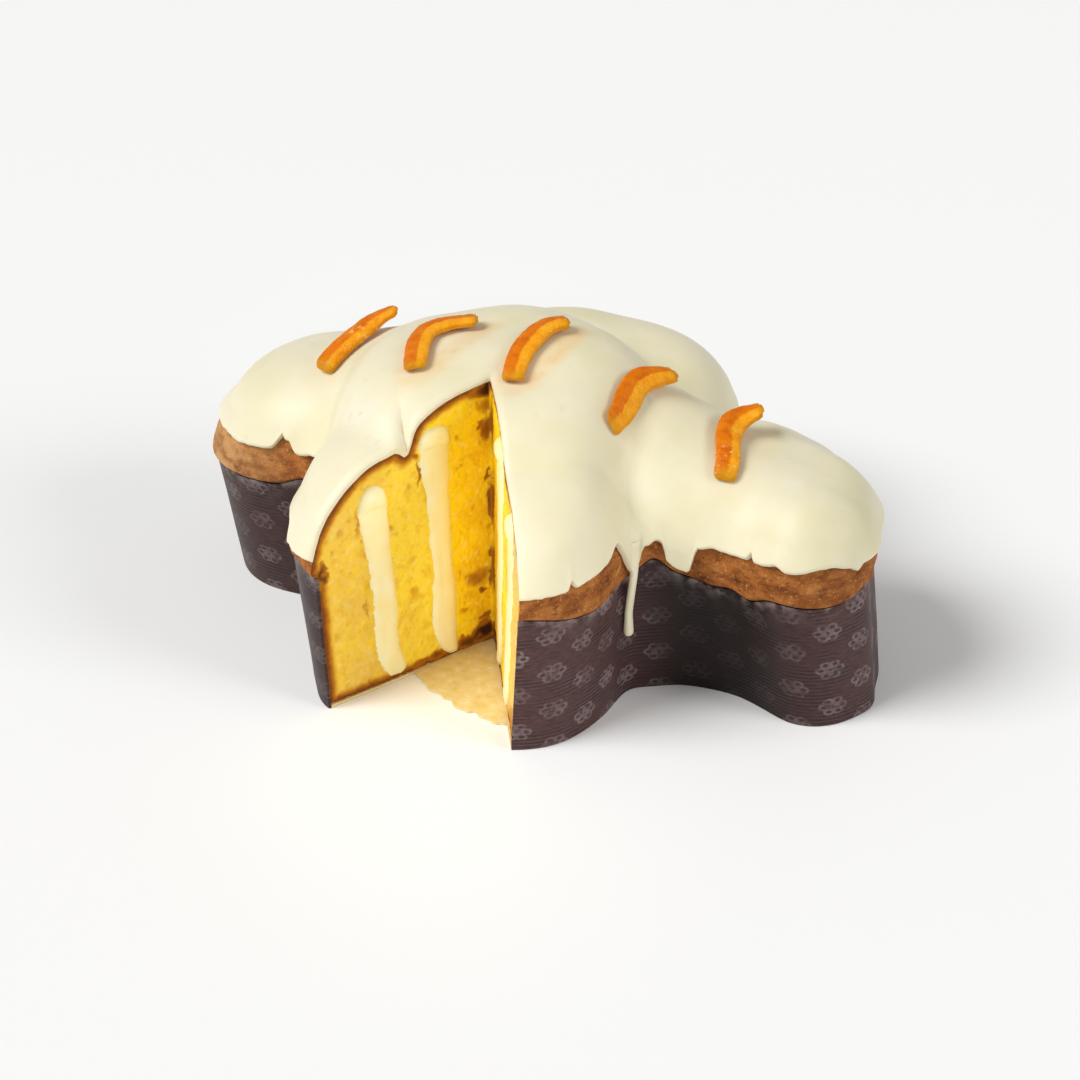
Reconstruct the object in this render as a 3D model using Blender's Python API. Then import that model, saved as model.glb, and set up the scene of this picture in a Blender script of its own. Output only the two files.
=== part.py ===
"""Colomba easter bread: an iced, dove-shaped loaf in its paper case, with one slice cut out of a wing.

The head points to -X, the flared tail to +X, the wing with the cut to -Y. Metres, +Z up, standing on Z = 0.
"""
import math

import bmesh
import bpy
import numpy as np

# Paper case
PAPER = 0.0010
CASE_HEIGHT = 0.052
CASE_FLARE = 0.0017
PAPER_DIP = 0.0004
GAP = 0.0003
SLOT_GAP = 0.0005

# Plan of the loaf, at the foot of the case: spots joined by straight runs, with the corners blended round
HEAD = {"x": -0.104, "y": 0.008, "half": 0.010, "radius": 0.026}
TAIL = {"x": 0.113, "y": 0.000, "half": 0.020, "radius": 0.022, "skew": -0.009}
MIDDLE = {"x": -0.010, "radius": 0.043}
WAIST = {"x": 0.056, "radius": 0.031}
WING = {"x": -0.009, "y": 0.056, "half": 0.024, "radius": 0.038, "far_shift": 0.009}
NECK_SHARE = 0.7
GIRTH_SHARE = 0.72
CORNER_BLEND = 0.017
END_LEAN = 0.055
HEAD_TUCK = 0.068
HEAD_TUCK_HEIGHT = 0.024
# Places where the outline stands out, or draws in where less than nothing: x, y, width, how far
PUSHES = [(-0.050, -0.100, 0.015, 0.0045), (0.038, -0.090, 0.020, 0.0040), (0.113, -0.036, 0.010, -0.0020),
          (0.148, -0.018, 0.010, 0.0025), (0.064, -0.040, 0.010, 0.0022)]

# Domed top
RIM = 0.0545
CRUST_BULGE = 0.0035
LIP_OUT_SHARE = 0.7
LIP_UP_SHARE = 0.4
RIDGE_CROWN = 0.064
HEAD_CROWN = 0.034
TAIL_CROWN = 0.0285
CROWN_EASE = 0.8
RIDGE_SHOULDER = 0.037
TAIL_LEVEL = 0.60
HEAD_LEVEL = 0.72
LEVEL_BLEND = 0.05
LEVEL_EASE = (0.50, 0.85)
WING_CROWN = 0.046
WING_DROOP = 0.12
WING_SHOULDER = 0.036
NEAR_WING_SHOULDER = 0.029
NEAR_WING_SWELL = 0.0015
BODY_CENTRE = (-0.012, -0.010)
BODY_CROWN = 0.065
BODY_RADIUS = 0.069
BODY_SQUARENESS = 4.4
CREASE_BLEND = 0.0050
EDGE_RISE = 0.030
EDGE_WIDTH = 0.020
# Short fold in the near wing's crust, beside the cut
FOLD = {"x": -0.0267, "y": -0.0660, "along": 121.0, "half_length": 0.012, "half_width": 0.0027,
        "depth": 0.0070}
# Where the far shoulder of the tail droops: start, way that it deepens, reach, and share of the height lost
DROOP = {"x": 0.0998, "y": 0.0174, "toward": 71.7, "reach": 0.020, "share": 0.19, "from_x": 0.086,
         "fade": 0.012}
# Slow lumps of the baked top: height, turns along X and along Y, start
LUMPS = [(0.0010, 61, 35, 0.4), (0.0008, -43, 97, 1.9), (0.0003, 120, 105, 1.4), (0.0003, 120, -105, 0.8)]

# Slice that was cut out of the near wing
CUT_APEX = (-0.0066, -0.0324)
CUT_LEFT = (-0.0461, -0.0983)
CUT_RIGHT = (0.0290, -0.0984)
CUT_RIGHT_HIGH = (0.0322, -0.0984)
CUT_LEAN_TOP = 0.056
CUT_REACH = 2.0

# Icing
ICING = 0.0022
ICING_GAP = 0.0006
ICING_EDGE = 0.0680
ICING_BEAD = 0.0009
BEAD_SHARE = 0.45
LOWEST_ICING = 0.0015

# Ripples of the icing's lower edge and of the paper's upper edge: height, waves round the loaf, start
ICING_RIPPLES = [(0.0006, 11, 0.5), (0.0004, 23, 2.0)]
PAPER_RIPPLES = [(0.0004, 11, 0.0)]

# How finely the round shapes are faceted
HALF_POINTS = 52
DOME_ROWS = 11
ROW_EASE = 1.15
PROFILE_SAMPLES = 160
TRACE_POINTS = 1600
SETTLING_STEPS = 6
SQUARE_ON = 0.017


def capsule(x, y, start, end, start_radius, end_radius):
    """Distance to a straight run with round ends, less than nothing inside it."""
    along = (end[0] - start[0], end[1] - start[1])
    length_squared = max(along[0] ** 2 + along[1] ** 2, 1e-12)
    share = ((x - start[0]) * along[0] + (y - start[1]) * along[1]) / length_squared
    share = np.clip(share, 0.0, 1.0)
    away = np.hypot(x - start[0] - share * along[0], y - start[1] - share * along[1])
    return away - start_radius - (end_radius - start_radius) * share


def smooth_min(values, blend):
    values = np.stack(values)
    least = values.min(axis=0)
    return least - blend * np.log(np.exp(-(values - least) / blend).sum(axis=0))


def smooth_max(values, blend):
    return -smooth_min([-value for value in values], blend)


def pushes(x, y):
    """How far the outline stands out near a point."""
    return sum(far * np.exp(-((x - at_x) ** 2 + (y - at_y) ** 2) / width ** 2)
               for at_x, at_y, width, far in PUSHES)


def trunk_distance(x, y):
    """Head, middle, waist and flared tail."""
    head = (HEAD["x"], HEAD["y"])
    middle = (MIDDLE["x"], 0.0)
    waist = (WAIST["x"], TAIL["y"] / 2)
    tail = (TAIL["x"], TAIL["y"])
    neck = HEAD["radius"] + NECK_SHARE * HEAD["half"]
    runs = [
        capsule(x, y, (head[0], head[1] - HEAD["half"]), (head[0], head[1] + HEAD["half"]),
                HEAD["radius"], HEAD["radius"]),
        capsule(x, y, head, middle, neck, MIDDLE["radius"]),
        capsule(x, y, middle, waist, MIDDLE["radius"], WAIST["radius"]),
        capsule(x, y, waist, tail, WAIST["radius"], WAIST["radius"]),
        capsule(x, y, (tail[0] - TAIL["skew"], tail[1] - TAIL["half"]),
                (tail[0] + TAIL["skew"], tail[1] + TAIL["half"]), TAIL["radius"], TAIL["radius"]),
    ]
    return smooth_min(runs, CORNER_BLEND / 4) - pushes(x, y)


def wing_distance(x, y):
    """Both wings, and the run between them."""
    runs = []
    for side in (-1, 1):
        centre = WING["x"] + (WING["far_shift"] if side > 0 else 0.0)
        runs.append(capsule(x, y, (centre - WING["half"], side * WING["y"]),
                            (centre + WING["half"], side * WING["y"]), WING["radius"], WING["radius"]))
    girth = WING["half"] + GIRTH_SHARE * WING["radius"]
    near_end = (WING["x"], -WING["y"])
    far_end = (WING["x"] + WING["far_shift"], WING["y"])
    runs.append(capsule(x, y, near_end, far_end, girth, girth))
    return smooth_min(runs, CORNER_BLEND / 4) - pushes(x, y)


def plan_distance(x, y):
    return smooth_min([trunk_distance(x, y), wing_distance(x, y)], CORNER_BLEND / 2)


def shoulder(share):
    """Quarter-ellipse rise, from upright at the edge to level."""
    share = np.clip(share, 0.0, 1.0)
    return np.sqrt(1.0 - (1.0 - share) ** 2)


def lumps(x, y):
    """Slow unevenness of a baked top."""
    return sum(height * np.sin(along_x * x + along_y * y + start)
               for height, along_x, along_y, start in LUMPS)


def fold(x, y):
    """How deep the crust folds in near a point."""
    turn = math.radians(FOLD["along"])
    beside_x = x - FOLD["x"]
    beside_y = y - FOLD["y"]
    along = beside_x * math.cos(turn) + beside_y * math.sin(turn)
    across = beside_y * math.cos(turn) - beside_x * math.sin(turn)
    return FOLD["depth"] * np.exp(-(along / FOLD["half_length"]) ** 2 - (across / FOLD["half_width"]) ** 2)


def ease_in(share):
    """Smooth step from 0 to 1."""
    share = np.clip(share, 0.0, 1.0)
    return share ** 2 * (3.0 - 2.0 * share)


def droop(x, y):
    """Share of the height that the far shoulder of the tail loses near a point."""
    turn = math.radians(DROOP["toward"])
    beyond = (x - DROOP["x"]) * math.cos(turn) + (y - DROOP["y"]) * math.sin(turn)
    return DROOP["share"] * ease_in(beyond / DROOP["reach"]) * ease_in((x - DROOP["from_x"]) / DROOP["fade"])


def dome_height(x, y, grow):
    """Top surface of the loaf, thickened by grow: body, ridge from head to tail, and wings."""
    head_end = HEAD["x"] - HEAD["radius"]
    tail_end = TAIL["x"] + TAIL["radius"]
    toward_tail = x > MIDDLE["x"]
    reach = np.where(toward_tail, tail_end - MIDDLE["x"], head_end - MIDDLE["x"])
    share = np.clip((x - MIDDLE["x"]) / reach, 0.0, 1.0)
    end_crown = np.where(toward_tail, TAIL_CROWN, HEAD_CROWN)
    crown = end_crown + (RIDGE_CROWN - end_crown) * (0.5 + 0.5 * np.cos(math.pi * share)) ** CROWN_EASE
    edge = CRUST_BULGE + grow
    ease = ease_in((share - LEVEL_EASE[0]) / (LEVEL_EASE[1] - LEVEL_EASE[0]))
    level = 1.0 + (np.where(toward_tail, TAIL_LEVEL, HEAD_LEVEL) - 1.0) * ease
    inward = (edge - trunk_distance(x, y)) / (RIDGE_SHOULDER + grow)
    ridge = (crown + grow) * shoulder(smooth_min([inward, level], LEVEL_BLEND))
    outward = np.clip(np.abs(y) / (WING["y"] + WING["radius"]), 0.0, 1.0)
    swell = np.where(y < 0.0, NEAR_WING_SWELL, 0.0)
    wing_crown = WING_CROWN * (1.0 - WING_DROOP * outward ** 2) + swell + grow
    wing_shoulder = np.where(y < 0.0, NEAR_WING_SHOULDER, WING_SHOULDER) + grow
    wings = wing_crown * shoulder((edge - wing_distance(x, y)) / wing_shoulder)
    out = np.hypot(x - BODY_CENTRE[0], y - BODY_CENTRE[1]) / (BODY_RADIUS + grow)
    body = (BODY_CROWN + grow) * np.sqrt(np.clip(1.0 - out ** BODY_SQUARENESS, 0.0, 1.0))
    low = (EDGE_RISE + grow) * shoulder((edge - plan_distance(x, y)) / (EDGE_WIDTH + grow))
    rise = smooth_max([ridge, wings, body, low], CREASE_BLEND) * (1.0 - droop(x, y))
    return RIM + rise + lumps(x, y) - fold(x, y)


def trace_plan(angles):
    """Points where rays from the middle of the loaf cross the plan."""
    near = np.full(len(angles), 0.010)
    far = np.full(len(angles), 0.230)
    for _ in range(24):
        middle = (near + far) / 2
        within = plan_distance(MIDDLE["x"] + middle * np.cos(angles), middle * np.sin(angles)) < 0.0
        near = np.where(within, middle, near)
        far = np.where(within, far, middle)
    return MIDDLE["x"] + near * np.cos(angles), near * np.sin(angles)


def plan_normals(x, y):
    step = 0.0002
    slope_x = plan_distance(x + step, y) - plan_distance(x - step, y)
    slope_y = plan_distance(x, y + step) - plan_distance(x, y - step)
    length = np.hypot(slope_x, slope_y)
    return slope_x / length, slope_y / length


def spine(share):
    """Point on the line inside the loaf from head to tail."""
    x = HEAD["x"] + (TAIL["x"] - HEAD["x"]) * share
    y = np.interp(x, [HEAD["x"], MIDDLE["x"], TAIL["x"]], [HEAD["y"], 0.0, TAIL["y"]])
    return x, y


def onto_plan(x, y):
    """Move points straight to the outline."""
    for _ in range(SETTLING_STEPS):
        away = plan_distance(x, y)
        normal_x, normal_y = plan_normals(x, y)
        x = x - away * normal_x
        y = y - away * normal_y
    return x, y


def evenly_spaced(x, y, count):
    """The same line drawn with count even steps."""
    run = np.concatenate([[0.0], np.cumsum(np.hypot(np.diff(x), np.diff(y)))])
    even = np.arange(count + 1) * run[-1] / count
    return np.interp(even, run, x), np.interp(even, run, y)


def side_outline(side, count):
    """Outline from the head's tip to the tail's tip along one side."""
    x, y = trace_plan(side * np.linspace(math.pi, 0.0, TRACE_POINTS))
    x, y = onto_plan(*evenly_spaced(x, y, TRACE_POINTS))
    return onto_plan(*evenly_spaced(x, y, count))


def loaf_plan():
    """Evenly spaced outline points from head to tail along the near side, then back along the far side.

    Each has its outward normal, the spine point that its line runs to, and its place round the loaf:
    from -180 degrees at the head to 0 at the tail on the near side, and from 180 to 0 on the far side.
    """
    near_x, near_y = side_outline(-1, HALF_POINTS)
    far_x, far_y = side_outline(1, HALF_POINTS)
    x = np.concatenate([near_x, far_x[-2:0:-1]])
    y = np.concatenate([near_y, far_y[-2:0:-1]])
    share = np.arange(HALF_POINTS + 1) / HALF_POINTS
    share = np.concatenate([share, share[-2:0:-1]])
    normal_x, normal_y = plan_normals(x, y)
    core_x, core_y = spine(share)
    place = math.pi * (1.0 - share) * np.where(np.arange(2 * HALF_POINTS) <= HALF_POINTS, -1.0, 1.0)
    return {"x": x, "y": y, "normal_x": normal_x, "normal_y": normal_y, "place": place,
            "core_x": core_x, "core_y": core_y}


def flat_ring(plan, offset, z):
    """Outline moved out by offset, at height z."""
    x = plan["x"] + plan["normal_x"] * offset
    y = plan["y"] + plan["normal_y"] * offset
    return np.column_stack([x, y, np.broadcast_to(z, x.shape)])


# Where the icing's lower edge leaves its usual height: place round the loaf in degrees, half width, rise
ICING_RUNS = [
    ("notch on the head", -155.8, 1.8, 0.0065),
    ("crust in the left crease", -149, 5, 0.0030),
    ("low run on the cut wing", -121, 3, -0.0030),
    ("notch before the right crease", -59.6, 3, 0.0055),
    ("rise on the near wing", -71, 6, 0.0028),
    ("left side of the drip's root", -57.2, 2.1, -0.0060),
    ("run beside the long drip", -54, 2.6, -0.0085),
    ("run at the waist", -44, 2.6, -0.0130),
    ("dip on the near side of the tail", -33, 6, -0.0020),
    ("rise at the end of the tail", -17, 3, 0.0015),
    ("notch at the tip of the tail", 12, 4, 0.0050),
    ("run on the far side of the tail", 41, 4, -0.0090),
    ("notch in the far crease", 54, 4, 0.0080),
    ("run on the far wing", 76, 5, -0.0070),
    ("notch on the far wing", 97, 4, 0.0050),
    ("run behind the far wing", 118, 4, -0.0080),
    ("notch behind the neck", 135, 5, 0.0080),
    ("run on the head", 166, 4, -0.0050),
]

# Where the paper stands higher or lower than usual
PAPER_RUNS = [
    ("high run beside the neck", -151.5, 3.5, 0.0055),
    ("high run left of the cut", -117.5, 7.5, 0.0085),
    ("high run right of the cut", -79, 7.5, 0.0065),
    ("dip on the near wing", -64, 4, -0.0015),
    ("point at the waist", -49.3, 2.8, 0.0068),
    ("dip before the tail", -38, 4, -0.0030),
    ("dip on the tail", -30.5, 3.5, -0.0045),
    ("rise on the tail", -27, 6, 0.0015),
    ("rise by the end of the tail", -9, 3, 0.0036),
    ("point in the far crease", 50, 3, 0.0050),
    ("high run on the far wing", 96, 9, 0.0030),
    ("high run behind the neck", 140, 5, 0.0040),
]


def ripple(places, waves):
    return sum(height * np.sin(count * places + start) for height, count, start in waves)


def run_rises(places, runs):
    """Sum of smooth rises and dips round the loaf."""
    rises = np.zeros(len(places))
    for _, degrees, half_width, rise in runs:
        turn = np.degrees(np.angle(np.exp(1j * (places - math.radians(degrees)))))
        rises += rise * np.exp(-(turn / half_width) ** 2)
    return rises


def paper_lift(places):
    return ripple(places, PAPER_RIPPLES) + run_rises(places, PAPER_RUNS)


def icing_edge(places):
    """Height of the icing's lower edge, wavy with runs and notches."""
    edge = ICING_EDGE + ripple(places, ICING_RIPPLES) + run_rises(places, ICING_RUNS)
    return np.maximum(edge, RIM + paper_lift(places) + LOWEST_ICING)


def dome_profiles(plan, grow):
    """Fine lines up the loaf from the rim to the spine, starting square to the outline."""
    edge = CRUST_BULGE + grow
    share = np.linspace(0.0, 1.0, PROFILE_SAMPLES) ** 2
    start_share = (1.0 - share) ** 2
    bend_share = 2.0 * share * (1.0 - share)
    lines = []
    for axis in ("x", "y"):
        start = plan[axis] + plan["normal_" + axis] * edge
        bend = plan[axis] - plan["normal_" + axis] * SQUARE_ON
        lines.append(np.outer(start, start_share) + np.outer(bend, bend_share)
                     + np.outer(plan["core_" + axis], share ** 2))
    rim_height = RIM + paper_lift(plan["place"])
    z = np.maximum(dome_height(lines[0], lines[1], grow), rim_height[:, None])
    profiles = np.stack([*lines, z], axis=2)
    rim = profiles[:, :1].copy()
    rim[:, 0, 2] = rim_height
    return np.concatenate([rim, profiles], axis=1)


def run_lengths(profiles):
    steps = np.linalg.norm(np.diff(profiles, axis=1), axis=2)
    return np.concatenate([np.zeros((len(profiles), 1)), np.cumsum(steps, axis=1)], axis=1)


def points_at(profiles, runs, distance):
    """One point on each profile, at the given distance along it."""
    return np.array([[np.interp(far, run, line[:, axis]) for axis in range(3)]
                     for line, run, far in zip(profiles, runs, distance)])


def reach_height(profiles, runs, heights):
    """Distance along each profile at which it first reaches a height."""
    first = np.argmax(profiles[:, :, 2] >= heights[:, None], axis=1)
    before = np.maximum(first - 1, 0)
    every = np.arange(len(profiles))
    low = profiles[every, before, 2]
    rise = np.maximum(profiles[every, first, 2] - low, 1e-9)
    share = np.clip((heights - low) / rise, 0.0, 1.0)
    return runs[every, before] + share * (runs[every, first] - runs[every, before])


def dome_rings(plan, grow):
    """Rows of points from the icing's edge to just under the ridge."""
    profiles = dome_profiles(plan, grow)
    runs = run_lengths(profiles)
    start = reach_height(profiles, runs, icing_edge(plan["place"]))
    shares = (np.arange(DOME_ROWS) / DOME_ROWS) ** ROW_EASE
    return [points_at(profiles, runs, start + (runs[:, -1] - start) * share) for share in shares]


def ridge_row(grow):
    """Points along the ridge, where the near and the far side meet."""
    x, y = spine(np.arange(HALF_POINTS + 1) / HALF_POINTS)
    return np.column_stack([x, y, dome_height(x, y, grow)])


def lean_share(x, z):
    """How far a point moves along X, as a share of its distance from the middle.

    Both ends lean toward the head, more the higher they are. Above the case the head draws back in.
    """
    tuck = np.clip((z - CASE_HEIGHT) / HEAD_TUCK_HEIGHT, 0.0, 1.0)
    return np.where(x < 0.0, HEAD_TUCK * tuck, 0.0) - END_LEAN * np.clip(z / CASE_HEIGHT, 0.0, 1.0)


def lean(points):
    points = np.array(points, dtype=float)
    points[:, 0] += lean_share(points[:, 0], points[:, 2]) * np.abs(points[:, 0])
    return points


def add_object(name, points, faces, colour, roughness):
    """One mesh object with its own material."""
    mesh = bpy.data.meshes.new(name)
    mesh.from_pydata([tuple(point) for point in points], [], faces)
    mesh.update()
    tidy = bmesh.new()
    tidy.from_mesh(mesh)
    bmesh.ops.recalc_face_normals(tidy, faces=tidy.faces)
    tidy.to_mesh(mesh)
    tidy.free()
    material = bpy.data.materials.new(name)
    material.use_nodes = True
    shader = material.node_tree.nodes["Principled BSDF"]
    shader.inputs["Base Color"].default_value = (*colour, 1.0)
    shader.inputs["Roughness"].default_value = roughness
    mesh.materials.append(material)
    mesh.shade_smooth()
    mesh.set_sharp_from_angle(angle=math.radians(40))
    piece = bpy.data.objects.new(name, mesh)
    bpy.context.collection.objects.link(piece)
    return piece


def ring_faces(count, rows, closed_loop=False):
    """Triangles between rows of points, each row a closed ring, all slanting the same way."""
    faces = []
    last = rows if closed_loop else rows - 1
    for row in range(last):
        under = row * count
        over = ((row + 1) % rows) * count
        for i in range(count):
            j = (i + 1) % count
            faces.append((under + i, under + j, over + j))
            faces.append((under + i, over + j, over + i))
    return faces


def stacked_solid(name, rings, colour, roughness):
    """Solid with flat ends, from rings listed upward."""
    count = len(rings[0])
    faces = ring_faces(count, len(rings))
    faces.append(tuple(reversed(range(count))))
    faces.append(tuple(range((len(rings) - 1) * count, len(rings) * count)))
    return add_object(name, lean(np.vstack(rings)), faces, colour, roughness)


def ridge_faces(ring_start, ridge_start):
    """Quads between the last ring and the ridge, which both sides share."""
    count = 2 * HALF_POINTS
    faces = []
    for i in range(count):
        j = (i + 1) % count
        here = ridge_start + (i if i <= HALF_POINTS else count - i)
        ahead = ridge_start + (j if j <= HALF_POINTS else count - j)
        faces.append((ring_start + i, ring_start + j, ahead, here))
    return faces


def build_bread(plan):
    """Crumb and crust: flat foot, straight sides in the case, crust rolled over the paper, domed top."""
    inset = -PAPER - GAP
    lift = paper_lift(plan["place"])
    rings = [
        flat_ring(plan, inset, PAPER + GAP),
        flat_ring(plan, inset + CASE_FLARE, CASE_HEIGHT + GAP + lift),
        flat_ring(plan, LIP_OUT_SHARE * CRUST_BULGE, CASE_HEIGHT + LIP_UP_SHARE * (RIM - CASE_HEIGHT) + lift),
        flat_ring(plan, CRUST_BULGE, RIM + lift),
    ]
    rings += dome_rings(plan, 0.0)
    count = 2 * HALF_POINTS
    faces = ring_faces(count, len(rings))
    faces.append(tuple(reversed(range(count))))
    faces += ridge_faces((len(rings) - 1) * count, len(rings) * count)
    points = lean(np.vstack([*rings, ridge_row(0.0)]))
    return add_object("bread", points, faces, (0.75, 0.45, 0.10), 0.75)


def build_icing(plan):
    """Skin of icing over the dome, with a rounded lower edge."""
    inner = ICING_GAP
    outer = ICING_GAP + ICING
    count = 2 * HALF_POINTS
    points = []
    faces = []
    for grow in (inner, outer):
        start = len(points)
        shell = dome_rings(plan, grow)
        shell_faces = ring_faces(count, len(shell))
        shell_faces += ridge_faces((len(shell) - 1) * count, len(shell) * count)
        points += [*np.vstack([*shell, ridge_row(grow)])]
        faces += [tuple(start + corner for corner in face) for face in shell_faces]
    outer_start = len(points) // 2
    bead_start = len(points)
    middle = dome_profiles(plan, inner + BEAD_SHARE * ICING)
    runs = run_lengths(middle)
    points += [*points_at(middle, runs, reach_height(middle, runs, icing_edge(plan["place"]) - ICING_BEAD))]
    for upper in (0, outer_start):
        for i in range(count):
            j = (i + 1) % count
            faces.append((bead_start + i, bead_start + j, upper + j, upper + i))
    points = lean(points)
    return add_object("icing", points, faces, (0.90, 0.84, 0.62), 0.4)


def build_case_wall(plan):
    """Paper wall standing round the loaf, its upper edge slightly wavy."""
    rim = CASE_HEIGHT - PAPER_DIP + paper_lift(plan["place"])
    rings = [
        flat_ring(plan, 0.0, 0.0),
        flat_ring(plan, CASE_FLARE, rim),
        flat_ring(plan, CASE_FLARE - PAPER, rim),
        flat_ring(plan, -PAPER, 0.0),
    ]
    return add_object("case_wall", lean(np.vstack(rings)), ring_faces(2 * HALF_POINTS, len(rings), True),
                      (0.045, 0.025, 0.030), 0.6)


def build_case_base(plan):
    """Flat paper floor of the case."""
    rings = [flat_ring(plan, -PAPER - GAP, 0.0), flat_ring(plan, -PAPER - GAP, PAPER)]
    return stacked_solid("case_base", rings, (0.66, 0.42, 0.20), 0.8)


def cutter_solid(name, levels):
    """Upright cutter through levels listed upward, each a height and its corners."""
    count = len(levels[0][1])
    points = [(x, y, z) for z, corners in levels for x, y in corners]
    faces = ring_faces(count, len(levels))
    faces.append(tuple(reversed(range(count))))
    faces.append(tuple(range((len(levels) - 1) * count, len(levels) * count)))
    cutter = add_object(name, points, faces, (0.5, 0.5, 0.5), 0.5)
    cutter.hide_render = True
    cutter.display_type = "WIRE"
    return cutter


def cut_away(piece, cutter):
    cut = piece.modifiers.new("cut by " + cutter.name, "BOOLEAN")
    cut.operation = "DIFFERENCE"
    cut.solver = "EXACT"
    cut.object = cutter


def beyond(corner, reach):
    """Point on the line from the cut's apex through a corner."""
    return (CUT_APEX[0] + reach * (corner[0] - CUT_APEX[0]), CUT_APEX[1] + reach * (corner[1] - CUT_APEX[1]))


def slice_cutter():
    """The slice that is missing. Its right face leans out as it rises through the case."""
    levels = []
    for step in range(CUT_LEAN_STEPS + 1):
        share = step / CUT_LEAN_STEPS
        right = tuple(low + (high - low) * share for low, high in zip(CUT_RIGHT, CUT_RIGHT_HIGH))
        corners = [CUT_APEX, beyond(CUT_LEFT, CUT_REACH), beyond(right, CUT_REACH)]
        levels.append((CUT_LEAN_TOP * share, corners))
    return cutter_solid("slice_cutter", [(CUTTER_LOW, levels[0][1]), *levels, (CUTTER_HIGH, levels[-1][1])])


# Torn edge of the paper floor where the slice was lifted out
TEAR_START = 0.50
TEAR_END = 0.78
TEAR_POINTS = 15
TEAR_WAVE = 0.0022
TEAR_TURNS = 19.0
TEAR_PHASE = 0.6
TEAR_SAG = 0.0050
CUTTER_LOW = -0.010
CUTTER_HIGH = 0.200
CUT_LEAN_STEPS = 6


def floor_cutter():
    """What was torn off the floor with the slice, beyond a wavy line across the cut."""
    start = beyond(CUT_LEFT, TEAR_START)
    end = beyond(CUT_RIGHT, TEAR_END)
    corners = []
    for i in range(TEAR_POINTS):
        share = i / (TEAR_POINTS - 1)
        x = start[0] + (end[0] - start[0]) * share
        y = start[1] + (end[1] - start[1]) * share
        fade = math.sin(math.pi * share)
        wave = TEAR_WAVE * math.sin(TEAR_TURNS * share + TEAR_PHASE)
        corners.append((x, y + (wave - TEAR_SAG) * fade))
    corners += [beyond(CUT_RIGHT, CUT_REACH), beyond(CUT_LEFT, CUT_REACH)]
    return cutter_solid("floor_cutter", [(CUTTER_LOW, corners), (2 * -CUTTER_LOW, corners)])


# Cream bands: distance out along the cut at the foot and at the top, heights, and how far each runs in
CREAM_BANDS = {
    "outer": {"foot": 0.0500, "head": 0.0545, "low": 0.0040, "high": 0.0900, "depth": 0.017,
              "foot_width": 0.0118, "head_width": 0.0136},
    "inner": {"foot": 0.0222, "head": 0.0272, "low": 0.0035, "high": 0.1060, "depth": 0.030,
              "foot_width": 0.0116, "head_width": 0.0160},
}
CREAM_ROWS = 11
CREAM_COVER = 0.009
CREAM_CURL = 0.0040
CREAM_CURL_SHARE = 0.18
CREAM_SWELL = 0.05
CREAM_SWELLS = 9.0
CREAM_END_SHARE = 0.55
CREAM_PAST_CUT = 0.006


def cream_outline(half_width, depth):
    """Plan of a band as (in from the cut, along the cut): a tongue with a round inner end."""
    corners = [(-CREAM_PAST_CUT, -half_width)]
    for turn in (-90, -45, 0, 45, 90):
        out = half_width * math.cos(math.radians(turn))
        side = half_width * math.sin(math.radians(turn))
        corners.append((depth - half_width + out, side))
    corners.append((-CREAM_PAST_CUT, half_width))
    return corners


def tongue_end(count, start, facing_up):
    """Flat strips across the end of a band, between the matching corners of its two sides."""
    faces = []
    for k in range(count // 2):
        strip = [k, k + 1, count - 2 - k, count - 1 - k]
        face = [start + corner for corner in dict.fromkeys(strip)]
        faces.append(tuple(face if facing_up else reversed(face)))
    return faces


def build_cream(name, band, corner, side, spare):
    """Band of cream that opens in the cut face, thickened by spare where it is used as a cutter."""
    reach = math.hypot(corner[0] - CUT_APEX[0], corner[1] - CUT_APEX[1])
    along = np.array([corner[0] - CUT_APEX[0], corner[1] - CUT_APEX[1]]) / reach
    inward = np.array([side * 1.0, 0.0])
    rings = []
    for row in range(CREAM_ROWS):
        share = row / (CREAM_ROWS - 1)
        curl = CREAM_CURL * max(1.0 - share / CREAM_CURL_SHARE, 0.0) ** 2
        place = band["foot"] + (band["head"] - band["foot"]) * share - curl
        centre = np.array(CUT_APEX) + place * along
        swell = 1.0 + CREAM_SWELL * math.sin(CREAM_SWELLS * (share + band["foot"] / band["high"]))
        width = band["foot_width"] + (band["head_width"] - band["foot_width"]) * share ** 2
        rounded = CREAM_END_SHARE + (1.0 - CREAM_END_SHARE) * math.sqrt(1.0 - abs(2 * share - 1) ** 12)
        half_width = 0.5 * width * swell * rounded
        stretch = {0: -spare, CREAM_ROWS - 1: spare}.get(row, 0.0)
        true_plan = cream_outline(half_width, band["depth"])
        grown_plan = cream_outline(half_width + spare, band["depth"] + spare)
        ring = []
        for (true_deep, _), (deep, beside) in zip(true_plan, grown_plan):
            x, y = centre + deep * inward + beside * along
            under = centre + true_deep * inward
            cover = dome_height(under[:1], under[1:], 0.0)[0] - CREAM_COVER
            top = min(band["high"], cover)
            ring.append((x, y, band["low"] + (top - band["low"]) * share + stretch))
        rings.append(np.array(ring))
    count = len(rings[0])
    faces = ring_faces(count, CREAM_ROWS)
    faces += tongue_end(count, 0, False)
    faces += tongue_end(count, (CREAM_ROWS - 1) * count, True)
    return add_object(name, lean(np.vstack(rings)), faces, (0.93, 0.78, 0.42), 0.5)


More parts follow.
